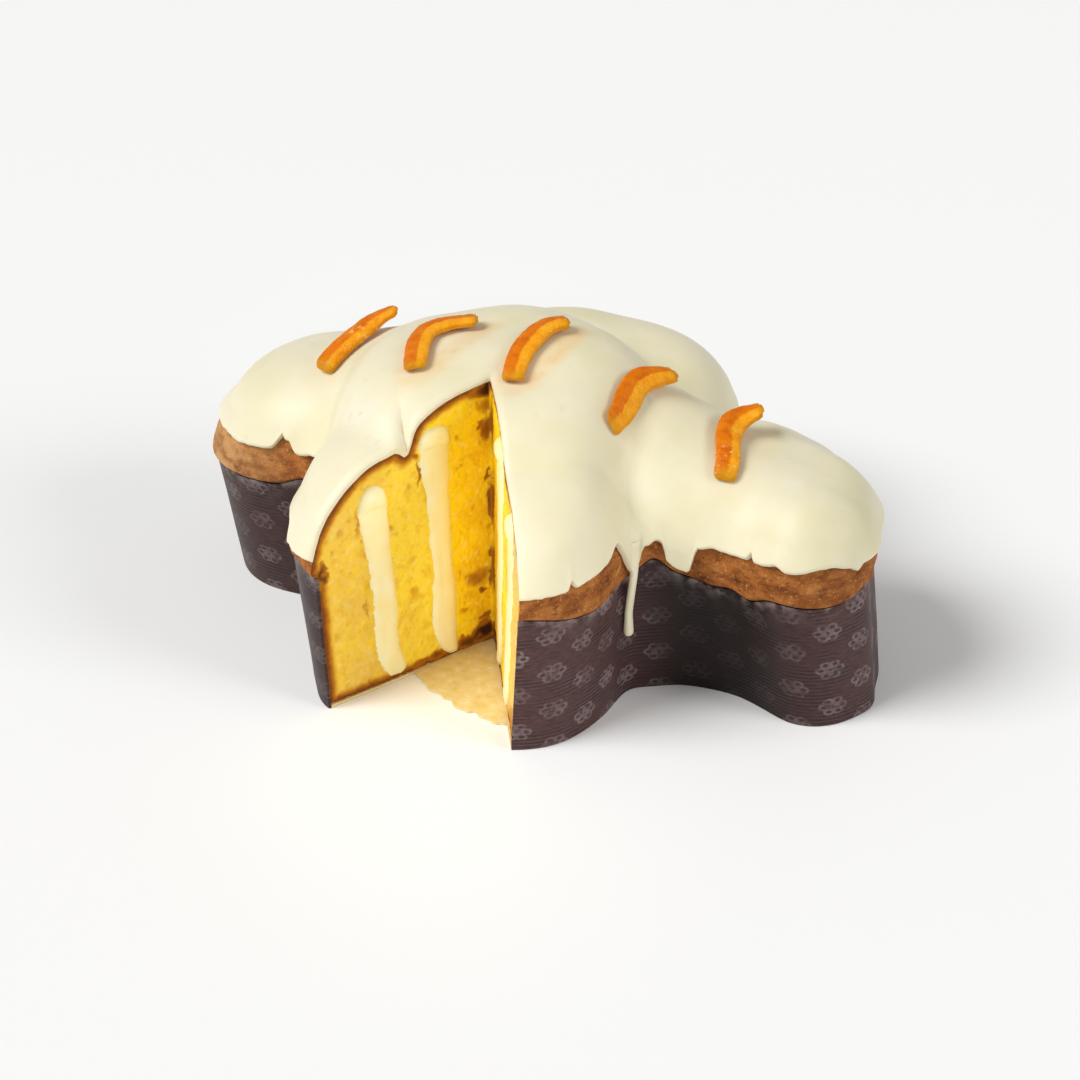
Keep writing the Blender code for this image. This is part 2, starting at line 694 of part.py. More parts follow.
# Candied orange peel: points that each strip passes over, seen from above, and how far its last end stands up
PEELS = [
    {"over": [(-0.0880, -0.0145), (-0.0852, -0.0055), (-0.0815, 0.0038), (-0.0775, 0.0125),
              (-0.0710, 0.0200)], "lift": 0.0045, "width": 0.0105, "thick": 0.0045},
    {"over": [(-0.0344, -0.0405), (-0.0378, -0.0312), (-0.0405, -0.0224), (-0.0405, -0.0145),
              (-0.0370, -0.0085), (-0.0315, -0.0040), (-0.0250, -0.0010)],
     "lift": 0.0010, "width": 0.0100, "thick": 0.0040},
    {"over": [(0.0038, -0.0353), (0.0020, -0.0275), (0.0012, -0.0203), (0.0019, -0.0129), (0.0032, -0.0055),
              (0.0056, 0.0007), (0.0105, 0.0055)], "lift": 0.0010, "width": 0.0095, "thick": 0.0040},
    {"over": [(0.0420, -0.0310), (0.0430, -0.0240), (0.0435, -0.0165), (0.0440, -0.0085), (0.0465, -0.0020),
              (0.0535, 0.0100)], "lift": 0.0040, "width": 0.0085, "thick": 0.0042},
    {"over": [(0.0852, -0.0244), (0.0845, -0.0185), (0.0826, -0.0115), (0.0803, -0.0045), (0.0803, 0.0025),
              (0.0835, 0.0078), (0.0885, 0.0115)], "lift": 0.0080, "width": 0.0100, "thick": 0.0042},
]
PEEL_END_SHARE = 0.85
PEEL_SECTION = [(-0.5, 0.12), (-0.42, 0.75), (0.0, 1.0), (0.42, 0.75), (0.5, 0.12), (0.0, 0.0)]
PEEL_STATIONS = 9
PEEL_SEAT = 0.0005


def curve_through(points, share):
    """Point at a share of the way along a smooth curve through the points."""
    spans = len(points) - 1
    span = min(int(share * spans), spans - 1)
    t = share * spans - span
    p1 = np.array(points[span])
    p2 = np.array(points[span + 1])
    p0 = np.array(points[span - 1]) if span > 0 else 2 * p1 - p2
    p3 = np.array(points[span + 2]) if span + 2 < len(points) else 2 * p2 - p1
    return 0.5 * (2 * p1 + (p2 - p0) * t + (2 * p0 - 5 * p1 + 4 * p2 - p3) * t ** 2
                  + (3 * p1 - p0 - 3 * p2 + p3) * t ** 3)


def top_of_icing(x, y):
    """Height of the icing over a point of the finished, leaning loaf."""
    shift = lean_share(x, RIM + HEAD_TUCK_HEIGHT)
    straight_x = x / (1.0 + shift * np.sign(x))
    return dome_height(np.array([straight_x]), np.array([y]), ICING_GAP + ICING)[0]


def build_peel(name, strip):
    """Strip of peel laid over the icing: bowed across, with blunt ends, the last one lifting off."""
    points = strip["over"]
    rings = []
    for i in range(PEEL_STATIONS):
        share = i / (PEEL_STATIONS - 1)
        here = curve_through(points, share)
        ahead = curve_through(points, min(share + 0.01, 1.0)) - curve_through(points, max(share - 0.01, 0.0))
        ahead = ahead / np.hypot(*ahead)
        across = np.array([-ahead[1], ahead[0]])
        width = strip["width"] * (PEEL_END_SHARE + (1.0 - PEEL_END_SHARE) * math.sin(math.pi * share) ** 0.5)
        edges = [top_of_icing(*(here + across * side * width)) for side in (-0.5, 0.0, 0.5)]
        tilt = (edges[2] - edges[0]) / width
        seat = max(edges[1], 0.5 * (edges[0] + edges[2])) + PEEL_SEAT + strip["lift"] * share ** 3
        ring = []
        for side, up in PEEL_SECTION:
            place = here + across * side * width
            ring.append((place[0], place[1], seat + tilt * side * width + up * strip["thick"]))
        rings.append(np.array(ring))
    count = len(PEEL_SECTION)
    faces = ring_faces(count, len(rings))
    faces.append(tuple(reversed(range(count))))
    faces.append(tuple(range((len(rings) - 1) * count, len(rings) * count)))
    return add_object(name, np.vstack(rings), faces, (0.85, 0.28, 0.02), 0.35)


# Long drip of icing that hangs in the crease between the cut wing and the tail
DRIP_PLACE = math.radians(-34.4)
DRIP_TOP = 0.074
DRIP_TIP = 0.027
DRIP_RADIUS = 0.0016
DRIP_TIP_SHARE = 0.11
DRIP_TIP_RADIUS = 0.3
DRIP_FOOT = 1.15
DRIP_TAPER = 0.3
DRIP_ROOT = 0.5
DRIP_CLEAR = 0.0018
DRIP_LEAN = 0.0028
DRIP_SLANT = 0.014
DRIP_ROWS = 9
DRIP_SIDES = 8


def build_drip():
    """Round-tipped runnel that clears the crust and the paper."""
    x, y = trace_plan(np.array([DRIP_PLACE]))
    normal_x, normal_y = plan_normals(x, y)
    rings = []
    for row in range(DRIP_ROWS):
        share = row / (DRIP_ROWS - 1)
        z = DRIP_TIP + (DRIP_TOP - DRIP_TIP) * share
        short = 1.0 - min(share / DRIP_TIP_SHARE, 1.0)
        round_tip = max(math.sqrt(1.0 - short ** 2), DRIP_TIP_RADIUS)
        radius = DRIP_RADIUS * round_tip * (DRIP_FOOT - DRIP_TAPER * share + DRIP_ROOT * share ** 4)
        over_paper = min(max((CASE_HEIGHT - z) / DRIP_SLANT, 0.0), 1.0)
        behind = CRUST_BULGE + (CASE_FLARE - CRUST_BULGE) * over_paper
        out = behind + ICING_GAP + DRIP_CLEAR + DRIP_RADIUS
        aside = x - DRIP_LEAN * (1.0 - share)
        turns = np.arange(DRIP_SIDES) * 2 * math.pi / DRIP_SIDES
        rings.append(np.column_stack([aside + normal_x * out + radius * np.cos(turns),
                                      y + normal_y * out + radius * np.sin(turns), np.full(DRIP_SIDES, z)]))
    drip = stacked_solid("drip_part", rings, (0.90, 0.84, 0.62), 0.4)
    drip.hide_render = True
    drip.display_type = "WIRE"
    return drip


def join_on(piece, addition):
    join = piece.modifiers.new("joined by " + addition.name, "BOOLEAN")
    join.operation = "UNION"
    join.solver = "EXACT"
    join.object = addition


def centre_on_origin(pieces):
    """Move everything so that the middle of the footprint is the origin."""
    bpy.context.view_layer.update()
    corners = np.array([tuple(corner) for piece in pieces for corner in piece.bound_box])
    shift = (corners.min(axis=0) + corners.max(axis=0)) / 2
    for piece in bpy.context.scene.objects:
        piece.location = (-shift[0], -shift[1], 0.0)


def main():
    for old in list(bpy.context.scene.objects):
        bpy.data.objects.remove(old, do_unlink=True)
    plan = loaf_plan()
    bread = build_bread(plan)
    icing = build_icing(plan)
    case_wall = build_case_wall(plan)
    case_base = build_case_base(plan)
    slice_shape = slice_cutter()
    join_on(icing, build_drip())
    for piece in (bread, icing, case_wall):
        cut_away(piece, slice_shape)
    cut_away(case_base, floor_cutter())
    for side_name, corner, side in (("left", CUT_LEFT, -1), ("right", CUT_RIGHT, 1)):
        for band_name, band in CREAM_BANDS.items():
            name = "cream_" + side_name + "_" + band_name
            cream = build_cream(name, band, corner, side, 0.0)
            cut_away(cream, slice_shape)
            slot = build_cream("slot_" + side_name + "_" + band_name, band, corner, side, SLOT_GAP)
            slot.hide_render = True
            slot.display_type = "WIRE"
            cut_away(bread, slot)
    for number, strip in enumerate(PEELS, start=1):
        build_peel("peel_" + str(number), strip)
    centre_on_origin([bread, icing, case_wall])


main()
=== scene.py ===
"""Looks of a colomba: an iced, dove-shaped Easter loaf in its paper case, with one slice cut out of a wing.

Metres, +Z up. The plan and the dome repeat the solids' own named sizes, drawn much finer.
"""
import math

import bmesh
import bpy
import numpy as np
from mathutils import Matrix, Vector
from mathutils.bvhtree import BVHTree
from mathutils.kdtree import KDTree


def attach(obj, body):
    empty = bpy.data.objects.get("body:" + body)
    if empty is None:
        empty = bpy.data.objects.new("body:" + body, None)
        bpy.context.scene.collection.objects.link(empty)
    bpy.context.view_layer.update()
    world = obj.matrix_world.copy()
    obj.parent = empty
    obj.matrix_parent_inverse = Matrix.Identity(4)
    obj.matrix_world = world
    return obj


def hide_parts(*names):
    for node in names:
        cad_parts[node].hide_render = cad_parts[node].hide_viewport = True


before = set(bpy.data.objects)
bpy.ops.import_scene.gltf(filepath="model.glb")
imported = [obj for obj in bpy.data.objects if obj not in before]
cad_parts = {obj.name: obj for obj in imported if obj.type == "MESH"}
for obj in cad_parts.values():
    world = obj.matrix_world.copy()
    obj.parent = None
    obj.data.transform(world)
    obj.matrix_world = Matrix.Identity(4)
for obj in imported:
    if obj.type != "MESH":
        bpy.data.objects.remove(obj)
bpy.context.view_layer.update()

# Sizes shared with the solids
PAPER = 0.0010
CASE_HEIGHT = 0.052
CASE_FLARE = 0.0017
PAPER_DIP = 0.0004
GAP = 0.0003
HEAD = {"x": -0.104, "y": 0.008, "half": 0.010, "radius": 0.026}
TAIL = {"x": 0.113, "y": 0.000, "half": 0.020, "radius": 0.022, "skew": -0.009}
MIDDLE = {"x": -0.010, "radius": 0.043}
WAIST = {"x": 0.056, "radius": 0.031}
WING = {"x": -0.009, "y": 0.056, "half": 0.024, "radius": 0.038, "far_shift": 0.009}
NECK_SHARE = 0.7
GIRTH_SHARE = 0.72
CORNER_BLEND = 0.017
END_LEAN = 0.055
HEAD_TUCK = 0.068
HEAD_TUCK_HEIGHT = 0.024
# Places where the outline stands out, or draws in where less than nothing: x, y, width, how far
PUSHES = [(-0.050, -0.100, 0.015, 0.0045), (0.038, -0.090, 0.020, 0.0040), (0.113, -0.036, 0.010, -0.0020),
          (0.148, -0.018, 0.010, 0.0025), (0.064, -0.040, 0.010, 0.0022)]
RIM = 0.0545
CRUST_BULGE = 0.0035
RIDGE_CROWN = 0.064
HEAD_CROWN = 0.034
TAIL_CROWN = 0.0285
CROWN_EASE = 0.8
RIDGE_SHOULDER = 0.037
TAIL_LEVEL = 0.60
HEAD_LEVEL = 0.72
LEVEL_BLEND = 0.05
LEVEL_EASE = (0.50, 0.85)
WING_CROWN = 0.046
WING_DROOP = 0.12
WING_SHOULDER = 0.036
NEAR_WING_SHOULDER = 0.029
NEAR_WING_SWELL = 0.0015
BODY_CENTRE = (-0.012, -0.010)
BODY_CROWN = 0.065
BODY_RADIUS = 0.069
BODY_SQUARENESS = 4.4
CREASE_BLEND = 0.0050
EDGE_RISE = 0.030
EDGE_WIDTH = 0.020
# Short fold in the near wing's crust, beside the cut
FOLD = {"x": -0.0267, "y": -0.0660, "along": 121.0, "half_length": 0.012, "half_width": 0.0027,
        "depth": 0.0070}
# Where the far shoulder of the tail droops: start, way that it deepens, reach, and share of the height lost
DROOP = {"x": 0.0998, "y": 0.0174, "toward": 71.7, "reach": 0.020, "share": 0.19, "from_x": 0.086,
         "fade": 0.012}
# Slow lumps of the baked top: height, turns along X and along Y, start
LUMPS = [(0.0010, 61, 35, 0.4), (0.0008, -43, 97, 1.9), (0.0003, 120, 105, 1.4), (0.0003, 120, -105, 0.8)]
CUT_APEX = (-0.0066, -0.0324)
CUT_LEFT = (-0.0461, -0.0983)
CUT_RIGHT = (0.0290, -0.0984)
CUT_RIGHT_HIGH = (0.0322, -0.0984)
CUT_LEAN_TOP = 0.056
ICING = 0.0022
ICING_GAP = 0.0006
ICING_EDGE = 0.0680
LOWEST_ICING = 0.0015
ICING_RIPPLES = [(0.0006, 11, 0.5), (0.0004, 23, 2.0)]
PAPER_RIPPLES = [(0.0004, 11, 0.0)]
SQUARE_ON = 0.017
PROFILE_SAMPLES = 220
TRACE_POINTS = 2400
# The outline is searched for between these distances from the middle
TRACE_NEAR = 0.010
TRACE_FAR = 0.230
TRACE_HALVINGS = 24
PLAN_STEP = 0.0002
DOME_STEP = 0.0005
SETTLING_STEPS = 6
MIDDLE_SHIFT = (0.0000955, -0.0040803)

# How finely the scene's own pieces are drawn
HALF_POINTS = 400
FINE_STEP = 0.0006
CRUMB_STEP = 0.00055


def capsule(x, y, start, end, start_radius, end_radius):
    """Distance to a straight run with round ends, less than nothing inside it."""
    along = (end[0] - start[0], end[1] - start[1])
    length_squared = max(along[0] ** 2 + along[1] ** 2, 1e-12)
    share = ((x - start[0]) * along[0] + (y - start[1]) * along[1]) / length_squared
    share = np.clip(share, 0.0, 1.0)
    away = np.hypot(x - start[0] - share * along[0], y - start[1] - share * along[1])
    return away - start_radius - (end_radius - start_radius) * share


def smooth_min(values, blend):
    values = np.stack(values)
    least = values.min(axis=0)
    return least - blend * np.log(np.exp(-(values - least) / blend).sum(axis=0))


def smooth_max(values, blend):
    return -smooth_min([-value for value in values], blend)


def pushes(x, y):
    """How far the outline stands out near a point."""
    return sum(far * np.exp(-((x - at_x) ** 2 + (y - at_y) ** 2) / width ** 2)
               for at_x, at_y, width, far in PUSHES)


def trunk_distance(x, y):
    """Head, middle, waist and flared tail."""
    head = (HEAD["x"], HEAD["y"])
    middle = (MIDDLE["x"], 0.0)
    waist = (WAIST["x"], TAIL["y"] / 2)
    tail = (TAIL["x"], TAIL["y"])
    neck = HEAD["radius"] + NECK_SHARE * HEAD["half"]
    runs = [
        capsule(x, y, (head[0], head[1] - HEAD["half"]), (head[0], head[1] + HEAD["half"]),
                HEAD["radius"], HEAD["radius"]),
        capsule(x, y, head, middle, neck, MIDDLE["radius"]),
        capsule(x, y, middle, waist, MIDDLE["radius"], WAIST["radius"]),
        capsule(x, y, waist, tail, WAIST["radius"], WAIST["radius"]),
        capsule(x, y, (tail[0] - TAIL["skew"], tail[1] - TAIL["half"]),
                (tail[0] + TAIL["skew"], tail[1] + TAIL["half"]), TAIL["radius"], TAIL["radius"]),
    ]
    return smooth_min(runs, CORNER_BLEND / 4) - pushes(x, y)


def wing_distance(x, y):
    """Both wings, and the run between them."""
    runs = []
    for side in (-1, 1):
        centre = WING["x"] + (WING["far_shift"] if side > 0 else 0.0)
        runs.append(capsule(x, y, (centre - WING["half"], side * WING["y"]),
                            (centre + WING["half"], side * WING["y"]), WING["radius"], WING["radius"]))
    girth = WING["half"] + GIRTH_SHARE * WING["radius"]
    near_end = (WING["x"], -WING["y"])
    far_end = (WING["x"] + WING["far_shift"], WING["y"])
    runs.append(capsule(x, y, near_end, far_end, girth, girth))
    return smooth_min(runs, CORNER_BLEND / 4) - pushes(x, y)


def plan_distance(x, y):
    return smooth_min([trunk_distance(x, y), wing_distance(x, y)], CORNER_BLEND / 2)


def shoulder(share):
    """Quarter-ellipse rise, from upright at the edge to level."""
    share = np.clip(share, 0.0, 1.0)
    return np.sqrt(1.0 - (1.0 - share) ** 2)


def lumps(x, y):
    """Slow unevenness of a baked top."""
    return sum(height * np.sin(along_x * x + along_y * y + start)
               for height, along_x, along_y, start in LUMPS)


def fold(x, y):
    """How deep the crust folds in near a point."""
    turn = math.radians(FOLD["along"])
    beside_x = x - FOLD["x"]
    beside_y = y - FOLD["y"]
    along = beside_x * math.cos(turn) + beside_y * math.sin(turn)
    across = beside_y * math.cos(turn) - beside_x * math.sin(turn)
    return FOLD["depth"] * np.exp(-(along / FOLD["half_length"]) ** 2 - (across / FOLD["half_width"]) ** 2)


def ease_in(share):
    """Smooth step from 0 to 1."""
    share = np.clip(share, 0.0, 1.0)
    return share ** 2 * (3.0 - 2.0 * share)


def droop(x, y):
    """Share of the height that the far shoulder of the tail loses near a point."""
    turn = math.radians(DROOP["toward"])
    beyond = (x - DROOP["x"]) * math.cos(turn) + (y - DROOP["y"]) * math.sin(turn)
    return DROOP["share"] * ease_in(beyond / DROOP["reach"]) * ease_in((x - DROOP["from_x"]) / DROOP["fade"])


def dome_height(x, y, grow):
    """Top surface of the loaf, thickened by grow: body, ridge from head to tail, and wings."""
    head_end = HEAD["x"] - HEAD["radius"]
    tail_end = TAIL["x"] + TAIL["radius"]
    toward_tail = x > MIDDLE["x"]
    reach = np.where(toward_tail, tail_end - MIDDLE["x"], head_end - MIDDLE["x"])
    share = np.clip((x - MIDDLE["x"]) / reach, 0.0, 1.0)
    end_crown = np.where(toward_tail, TAIL_CROWN, HEAD_CROWN)
    crown = end_crown + (RIDGE_CROWN - end_crown) * (0.5 + 0.5 * np.cos(math.pi * share)) ** CROWN_EASE
    edge = CRUST_BULGE + grow
    ease = ease_in((share - LEVEL_EASE[0]) / (LEVEL_EASE[1] - LEVEL_EASE[0]))
    level = 1.0 + (np.where(toward_tail, TAIL_LEVEL, HEAD_LEVEL) - 1.0) * ease
    inward = (edge - trunk_distance(x, y)) / (RIDGE_SHOULDER + grow)
    ridge = (crown + grow) * shoulder(smooth_min([inward, level], LEVEL_BLEND))
    outward = np.clip(np.abs(y) / (WING["y"] + WING["radius"]), 0.0, 1.0)
    swell = np.where(y < 0.0, NEAR_WING_SWELL, 0.0)
    wing_crown = WING_CROWN * (1.0 - WING_DROOP * outward ** 2) + swell + grow
    wing_shoulder = np.where(y < 0.0, NEAR_WING_SHOULDER, WING_SHOULDER) + grow
    wings = wing_crown * shoulder((edge - wing_distance(x, y)) / wing_shoulder)
    out = np.hypot(x - BODY_CENTRE[0], y - BODY_CENTRE[1]) / (BODY_RADIUS + grow)
    body = (BODY_CROWN + grow) * np.sqrt(np.clip(1.0 - out ** BODY_SQUARENESS, 0.0, 1.0))
    low = (EDGE_RISE + grow) * shoulder((edge - plan_distance(x, y)) / (EDGE_WIDTH + grow))
    rise = smooth_max([ridge, wings, body, low], CREASE_BLEND) * (1.0 - droop(x, y))
    return RIM + rise + lumps(x, y) - fold(x, y)


def trace_plan(angles):
    """Points where rays from the middle of the loaf cross the plan."""
    near = np.full(len(angles), TRACE_NEAR)
    far = np.full(len(angles), TRACE_FAR)
    for _ in range(TRACE_HALVINGS):
        middle = (near + far) / 2
        within = plan_distance(MIDDLE["x"] + middle * np.cos(angles), middle * np.sin(angles)) < 0.0
        near = np.where(within, middle, near)
        far = np.where(within, far, middle)
    return MIDDLE["x"] + near * np.cos(angles), near * np.sin(angles)


def plan_normals(x, y):
    """Outward directions of the outline at points of the plan."""
    slope_x = plan_distance(x + PLAN_STEP, y) - plan_distance(x - PLAN_STEP, y)
    slope_y = plan_distance(x, y + PLAN_STEP) - plan_distance(x, y - PLAN_STEP)
    length = np.hypot(slope_x, slope_y)
    return slope_x / length, slope_y / length


def spine(share):
    """Point on the line inside the loaf from head to tail."""
    x = HEAD["x"] + (TAIL["x"] - HEAD["x"]) * share
    y = np.interp(x, [HEAD["x"], MIDDLE["x"], TAIL["x"]], [HEAD["y"], 0.0, TAIL["y"]])
    return x, y


def onto_plan(x, y):
    """Move points straight to the outline."""
    for _ in range(SETTLING_STEPS):
        away = plan_distance(x, y)
        normal_x, normal_y = plan_normals(x, y)
        x = x - away * normal_x
        y = y - away * normal_y
    return x, y


def evenly_spaced(x, y, count):
    """The same line drawn with count even steps."""
    run = np.concatenate([[0.0], np.cumsum(np.hypot(np.diff(x), np.diff(y)))])
    even = np.arange(count + 1) * run[-1] / count
    return np.interp(even, run, x), np.interp(even, run, y)


def side_outline(side, count):
    """Outline from the head's tip to the tail's tip along one side."""
    x, y = trace_plan(side * np.linspace(math.pi, 0.0, TRACE_POINTS))
    x, y = onto_plan(*evenly_spaced(x, y, TRACE_POINTS))
    return onto_plan(*evenly_spaced(x, y, count))


def loaf_plan(half_points):
    """Evenly spaced outline points from head to tail along the near side, then back along the far side.

    Each has its outward normal, the spine point that its line runs to, and its place round the loaf:
    from -180 degrees at the head to 0 at the tail on the near side, and from 180 to 0 on the far side.
    """
    near_x, near_y = side_outline(-1, half_points)
    far_x, far_y = side_outline(1, half_points)
    x = np.concatenate([near_x, far_x[-2:0:-1]])
    y = np.concatenate([near_y, far_y[-2:0:-1]])
    share = np.arange(half_points + 1) / half_points
    share = np.concatenate([share, share[-2:0:-1]])
    normal_x, normal_y = plan_normals(x, y)
    core_x, core_y = spine(share)
    place = math.pi * (1.0 - share) * np.where(np.arange(2 * half_points) <= half_points, -1.0, 1.0)
    return {"x": x, "y": y, "normal_x": normal_x, "normal_y": normal_y, "place": place,
            "core_x": core_x, "core_y": core_y, "half": half_points}


def flat_ring(plan, offset, z):
    """Outline moved out by offset, at height z."""
    x = plan["x"] + plan["normal_x"] * offset
    y = plan["y"] + plan["normal_y"] * offset
    return np.column_stack([x, y, np.broadcast_to(z, x.shape)])


# Where the icing's lower edge leaves its usual height: place round the loaf in degrees, half width, rise
ICING_RUNS = [
    ("notch on the head", -155.8, 1.8, 0.0065),
    ("crust in the left crease", -149, 5, 0.0030),
    ("low run on the cut wing", -121, 3, -0.0030),
    ("notch before the right crease", -59.6, 3, 0.0055),
    ("rise on the near wing", -71, 6, 0.0028),
    ("left side of the drip's root", -57.2, 2.1, -0.0060),
    ("run beside the long drip", -54, 2.6, -0.0085),
    ("run at the waist", -44, 2.6, -0.0130),
    ("dip on the near side of the tail", -33, 6, -0.0020),
    ("rise at the end of the tail", -17, 3, 0.0015),
    ("notch at the tip of the tail", 12, 4, 0.0050),
    ("run on the far side of the tail", 41, 4, -0.0090),
    ("run on the far wing", 76, 5, -0.0070),
    ("notch on the far wing", 97, 4, 0.0050),
    ("run behind the far wing", 118, 4, -0.0080),
    ("notch behind the neck", 135, 5, 0.0080),
    ("run on the head", 166, 4, -0.0050),
]

# Where the paper stands higher or lower than usual
PAPER_RUNS = [
    ("high run beside the neck", -151.5, 3.5, 0.0055),
    ("high run left of the cut", -117.5, 7.5, 0.0085),
    ("high run right of the cut", -79, 7.5, 0.0065),
    ("dip on the near wing", -64, 4, -0.0015),
    ("point at the waist", -49.3, 2.8, 0.0068),
    ("dip before the tail", -38, 4, -0.0030),
    ("dip on the tail", -30.5, 3.5, -0.0045),
    ("rise on the tail", -27, 6, 0.0015),
    ("rise by the end of the tail", -9, 3, 0.0036),
    ("point in the far crease", 50, 3, 0.0050),
    ("high run on the far wing", 96, 9, 0.0030),
    ("high run behind the neck", 140, 5, 0.0040),
]


def ripple(places, waves):
    return sum(height * np.sin(count * places + start) for height, count, start in waves)


def run_rises(places, runs):
    """Sum of smooth rises and dips round the loaf."""
    rises = np.zeros(len(places))
    for _, degrees, half_width, rise in runs:
        turn = np.degrees(np.angle(np.exp(1j * (places - math.radians(degrees)))))
        rises += rise * np.exp(-(turn / half_width) ** 2)
    return rises


def paper_lift(places):
    return ripple(places, PAPER_RIPPLES) + run_rises(places, PAPER_RUNS)


def dome_profiles(plan, grow):
    """Fine lines up the loaf from the rim to the spine, starting square to the outline."""
    edge = CRUST_BULGE + grow
    share = np.linspace(0.0, 1.0, PROFILE_SAMPLES) ** 2
    start_share = (1.0 - share) ** 2
    bend_share = 2.0 * share * (1.0 - share)
    lines = []
    for axis in ("x", "y"):
        start = plan[axis] + plan["normal_" + axis] * edge
        bend = plan[axis] - plan["normal_" + axis] * SQUARE_ON
        lines.append(np.outer(start, start_share) + np.outer(bend, bend_share)
                     + np.outer(plan["core_" + axis], share ** 2))
    rim_height = RIM + paper_lift(plan["place"])
    z = np.maximum(dome_height(lines[0], lines[1], grow), rim_height[:, None])
    profiles = np.stack([*lines, z], axis=2)
    rim = profiles[:, :1].copy()
    rim[:, 0, 2] = rim_height
    return np.concatenate([rim, profiles], axis=1)


def run_lengths(profiles):
    steps = np.linalg.norm(np.diff(profiles, axis=1), axis=2)
    return np.concatenate([np.zeros((len(profiles), 1)), np.cumsum(steps, axis=1)], axis=1)


def points_along(profiles, runs, distances):
    """Points on each profile at its own list of distances: one row of points for each distance."""
    placed = np.empty((distances.shape[1], len(profiles), 3))
    for i, (line, run, far) in enumerate(zip(profiles, runs, distances)):
        for axis in range(3):
            placed[:, i, axis] = np.interp(far, run, line[:, axis])
    return placed


def reach_height(profiles, runs, heights):
    """Distance along each profile at which it first reaches a height."""
    first = np.argmax(profiles[:, :, 2] >= heights[:, None], axis=1)
    before = np.maximum(first - 1, 0)
    every = np.arange(len(profiles))
    low = profiles[every, before, 2]
    rise = np.maximum(profiles[every, first, 2] - low, 1e-9)
    share = np.clip((heights - low) / rise, 0.0, 1.0)
    return runs[every, before] + share * (runs[every, first] - runs[every, before])


def lean_share(x, z):
    """How far a point moves along X, as a share of its distance from the middle."""
    tuck = np.clip((z - CASE_HEIGHT) / HEAD_TUCK_HEIGHT, 0.0, 1.0)
    return np.where(x < 0.0, HEAD_TUCK * tuck, 0.0) - END_LEAN * np.clip(z / CASE_HEIGHT, 0.0, 1.0)


def settle(points):
    """Lean the ends of the loaf as the solids do, and centre it on the origin."""
    points = np.array(points, dtype=float)
    points[:, 0] += lean_share(points[:, 0], points[:, 2]) * np.abs(points[:, 0])
    points[:, :2] += MIDDLE_SHIFT
    return points


def unsettle(points):
    """Back from the finished place to the upright plan."""
    points = np.array(points, dtype=float)
    points[:, :2] -= MIDDLE_SHIFT
    share = lean_share(points[:, 0], points[:, 2])
    points[:, 0] /= 1.0 + share * np.sign(points[:, 0])
    return points


# Random but repeatable textures for relief

def lattice(cells, seed):
    """Repeatable random number between 0 and 1 for each whole-number cell."""
    h = np.zeros(cells.shape[:-1], dtype=np.uint64) + np.uint64(seed * 7919 + 13)
    for axis, factor in zip(range(cells.shape[-1]), (73856093, 19349663, 83492791)):
        h = h ^ (cells[..., axis].astype(np.int64).astype(np.uint64) * np.uint64(factor))
        h = (h ^ (h >> np.uint64(29))) * np.uint64(0xBF58476D1CE4E5B9)
        h = h ^ (h >> np.uint64(32))
    return (h >> np.uint64(11)).astype(float) / float(1 << 53)


def soft_noise(points, size, seed):
    """Soft random values between -1 and 1 that change over about the given length."""
    scaled = np.asarray(points) / size
    low = np.floor(scaled)
    part = scaled - low
    part = part * part * (3.0 - 2.0 * part)
    low = low.astype(np.int64)
    axes = scaled.shape[-1]
    total = np.zeros(scaled.shape[:-1])
    for corner in range(2 ** axes):
        bits = np.array([(corner >> axis) & 1 for axis in range(axes)])
        weight = np.prod(np.where(bits, part, 1.0 - part), axis=-1)
        total += weight * lattice(low + bits, seed)
    return 2.0 * total - 1.0


def layered_noise(points, size, seed, layers=3):
    total = 0.0
    weight = 1.0
    whole = 0.0
    for layer in range(layers):
        total = total + weight * soft_noise(points, size / 2 ** layer, seed + layer)
        whole += weight
        weight *= 0.5
    return total / whole


def random_waves(points, waves, seed=0):
    """Sum of random waves, each a height, a length, the start of its draw and a number of layers."""
    return sum(height * layered_noise(points, size, start + seed, layers)
               for height, size, start, layers in waves)


def pores(places, cell, small, large, share, seed):
    """Depth of round pores scattered over a plane, one or none in each square cell."""
    base = np.floor(places / cell).astype(np.int64)
    deepest = np.zeros(len(places))
    for step_x in (-1, 0, 1):
        for step_y in (-1, 0, 1):
            cells = base + np.array([step_x, step_y])
            centre = (cells + 0.5) * cell
            centre[:, 0] += (lattice(cells, seed) - 0.5) * cell * 0.9
            centre[:, 1] += (lattice(cells, seed + 1) - 0.5) * cell * 0.9
            radius = small + (large - small) * lattice(cells, seed + 2) ** 2
            radius = np.where(lattice(cells, seed + 3) < share, radius, 1e-6)
            away = np.hypot(*(places - centre).T) / radius
            deepest = np.maximum(deepest, radius * np.sqrt(np.clip(1.0 - away ** 2, 0.0, 1.0)))
    return deepest


# Mesh helpers

def make_object(name, points, faces):
    mesh = bpy.data.meshes.new(name)
    mesh.from_pydata(np.asarray(points).tolist(), [], faces)
    mesh.validate()
    mesh.update()
    piece = bpy.data.objects.new(name, mesh)
    bpy.context.scene.collection.objects.link(piece)
    return piece


def outward(piece):
    """Turn every face to look out of the piece."""
    tidy = bmesh.new()
    tidy.from_mesh(piece.data)
    bmesh.ops.recalc_face_normals(tidy, faces=tidy.faces)
    tidy.to_mesh(piece.data)
    tidy.free()


def ring_quads(count, rows, closed_loop=False):
    faces = []
    last = rows if closed_loop else rows - 1
    for row in range(last):
        under = row * count
        over = ((row + 1) % rows) * count
        for i in range(count):
            j = (i + 1) % count
            faces.append((under + i, under + j, over + j, over + i))
    return faces


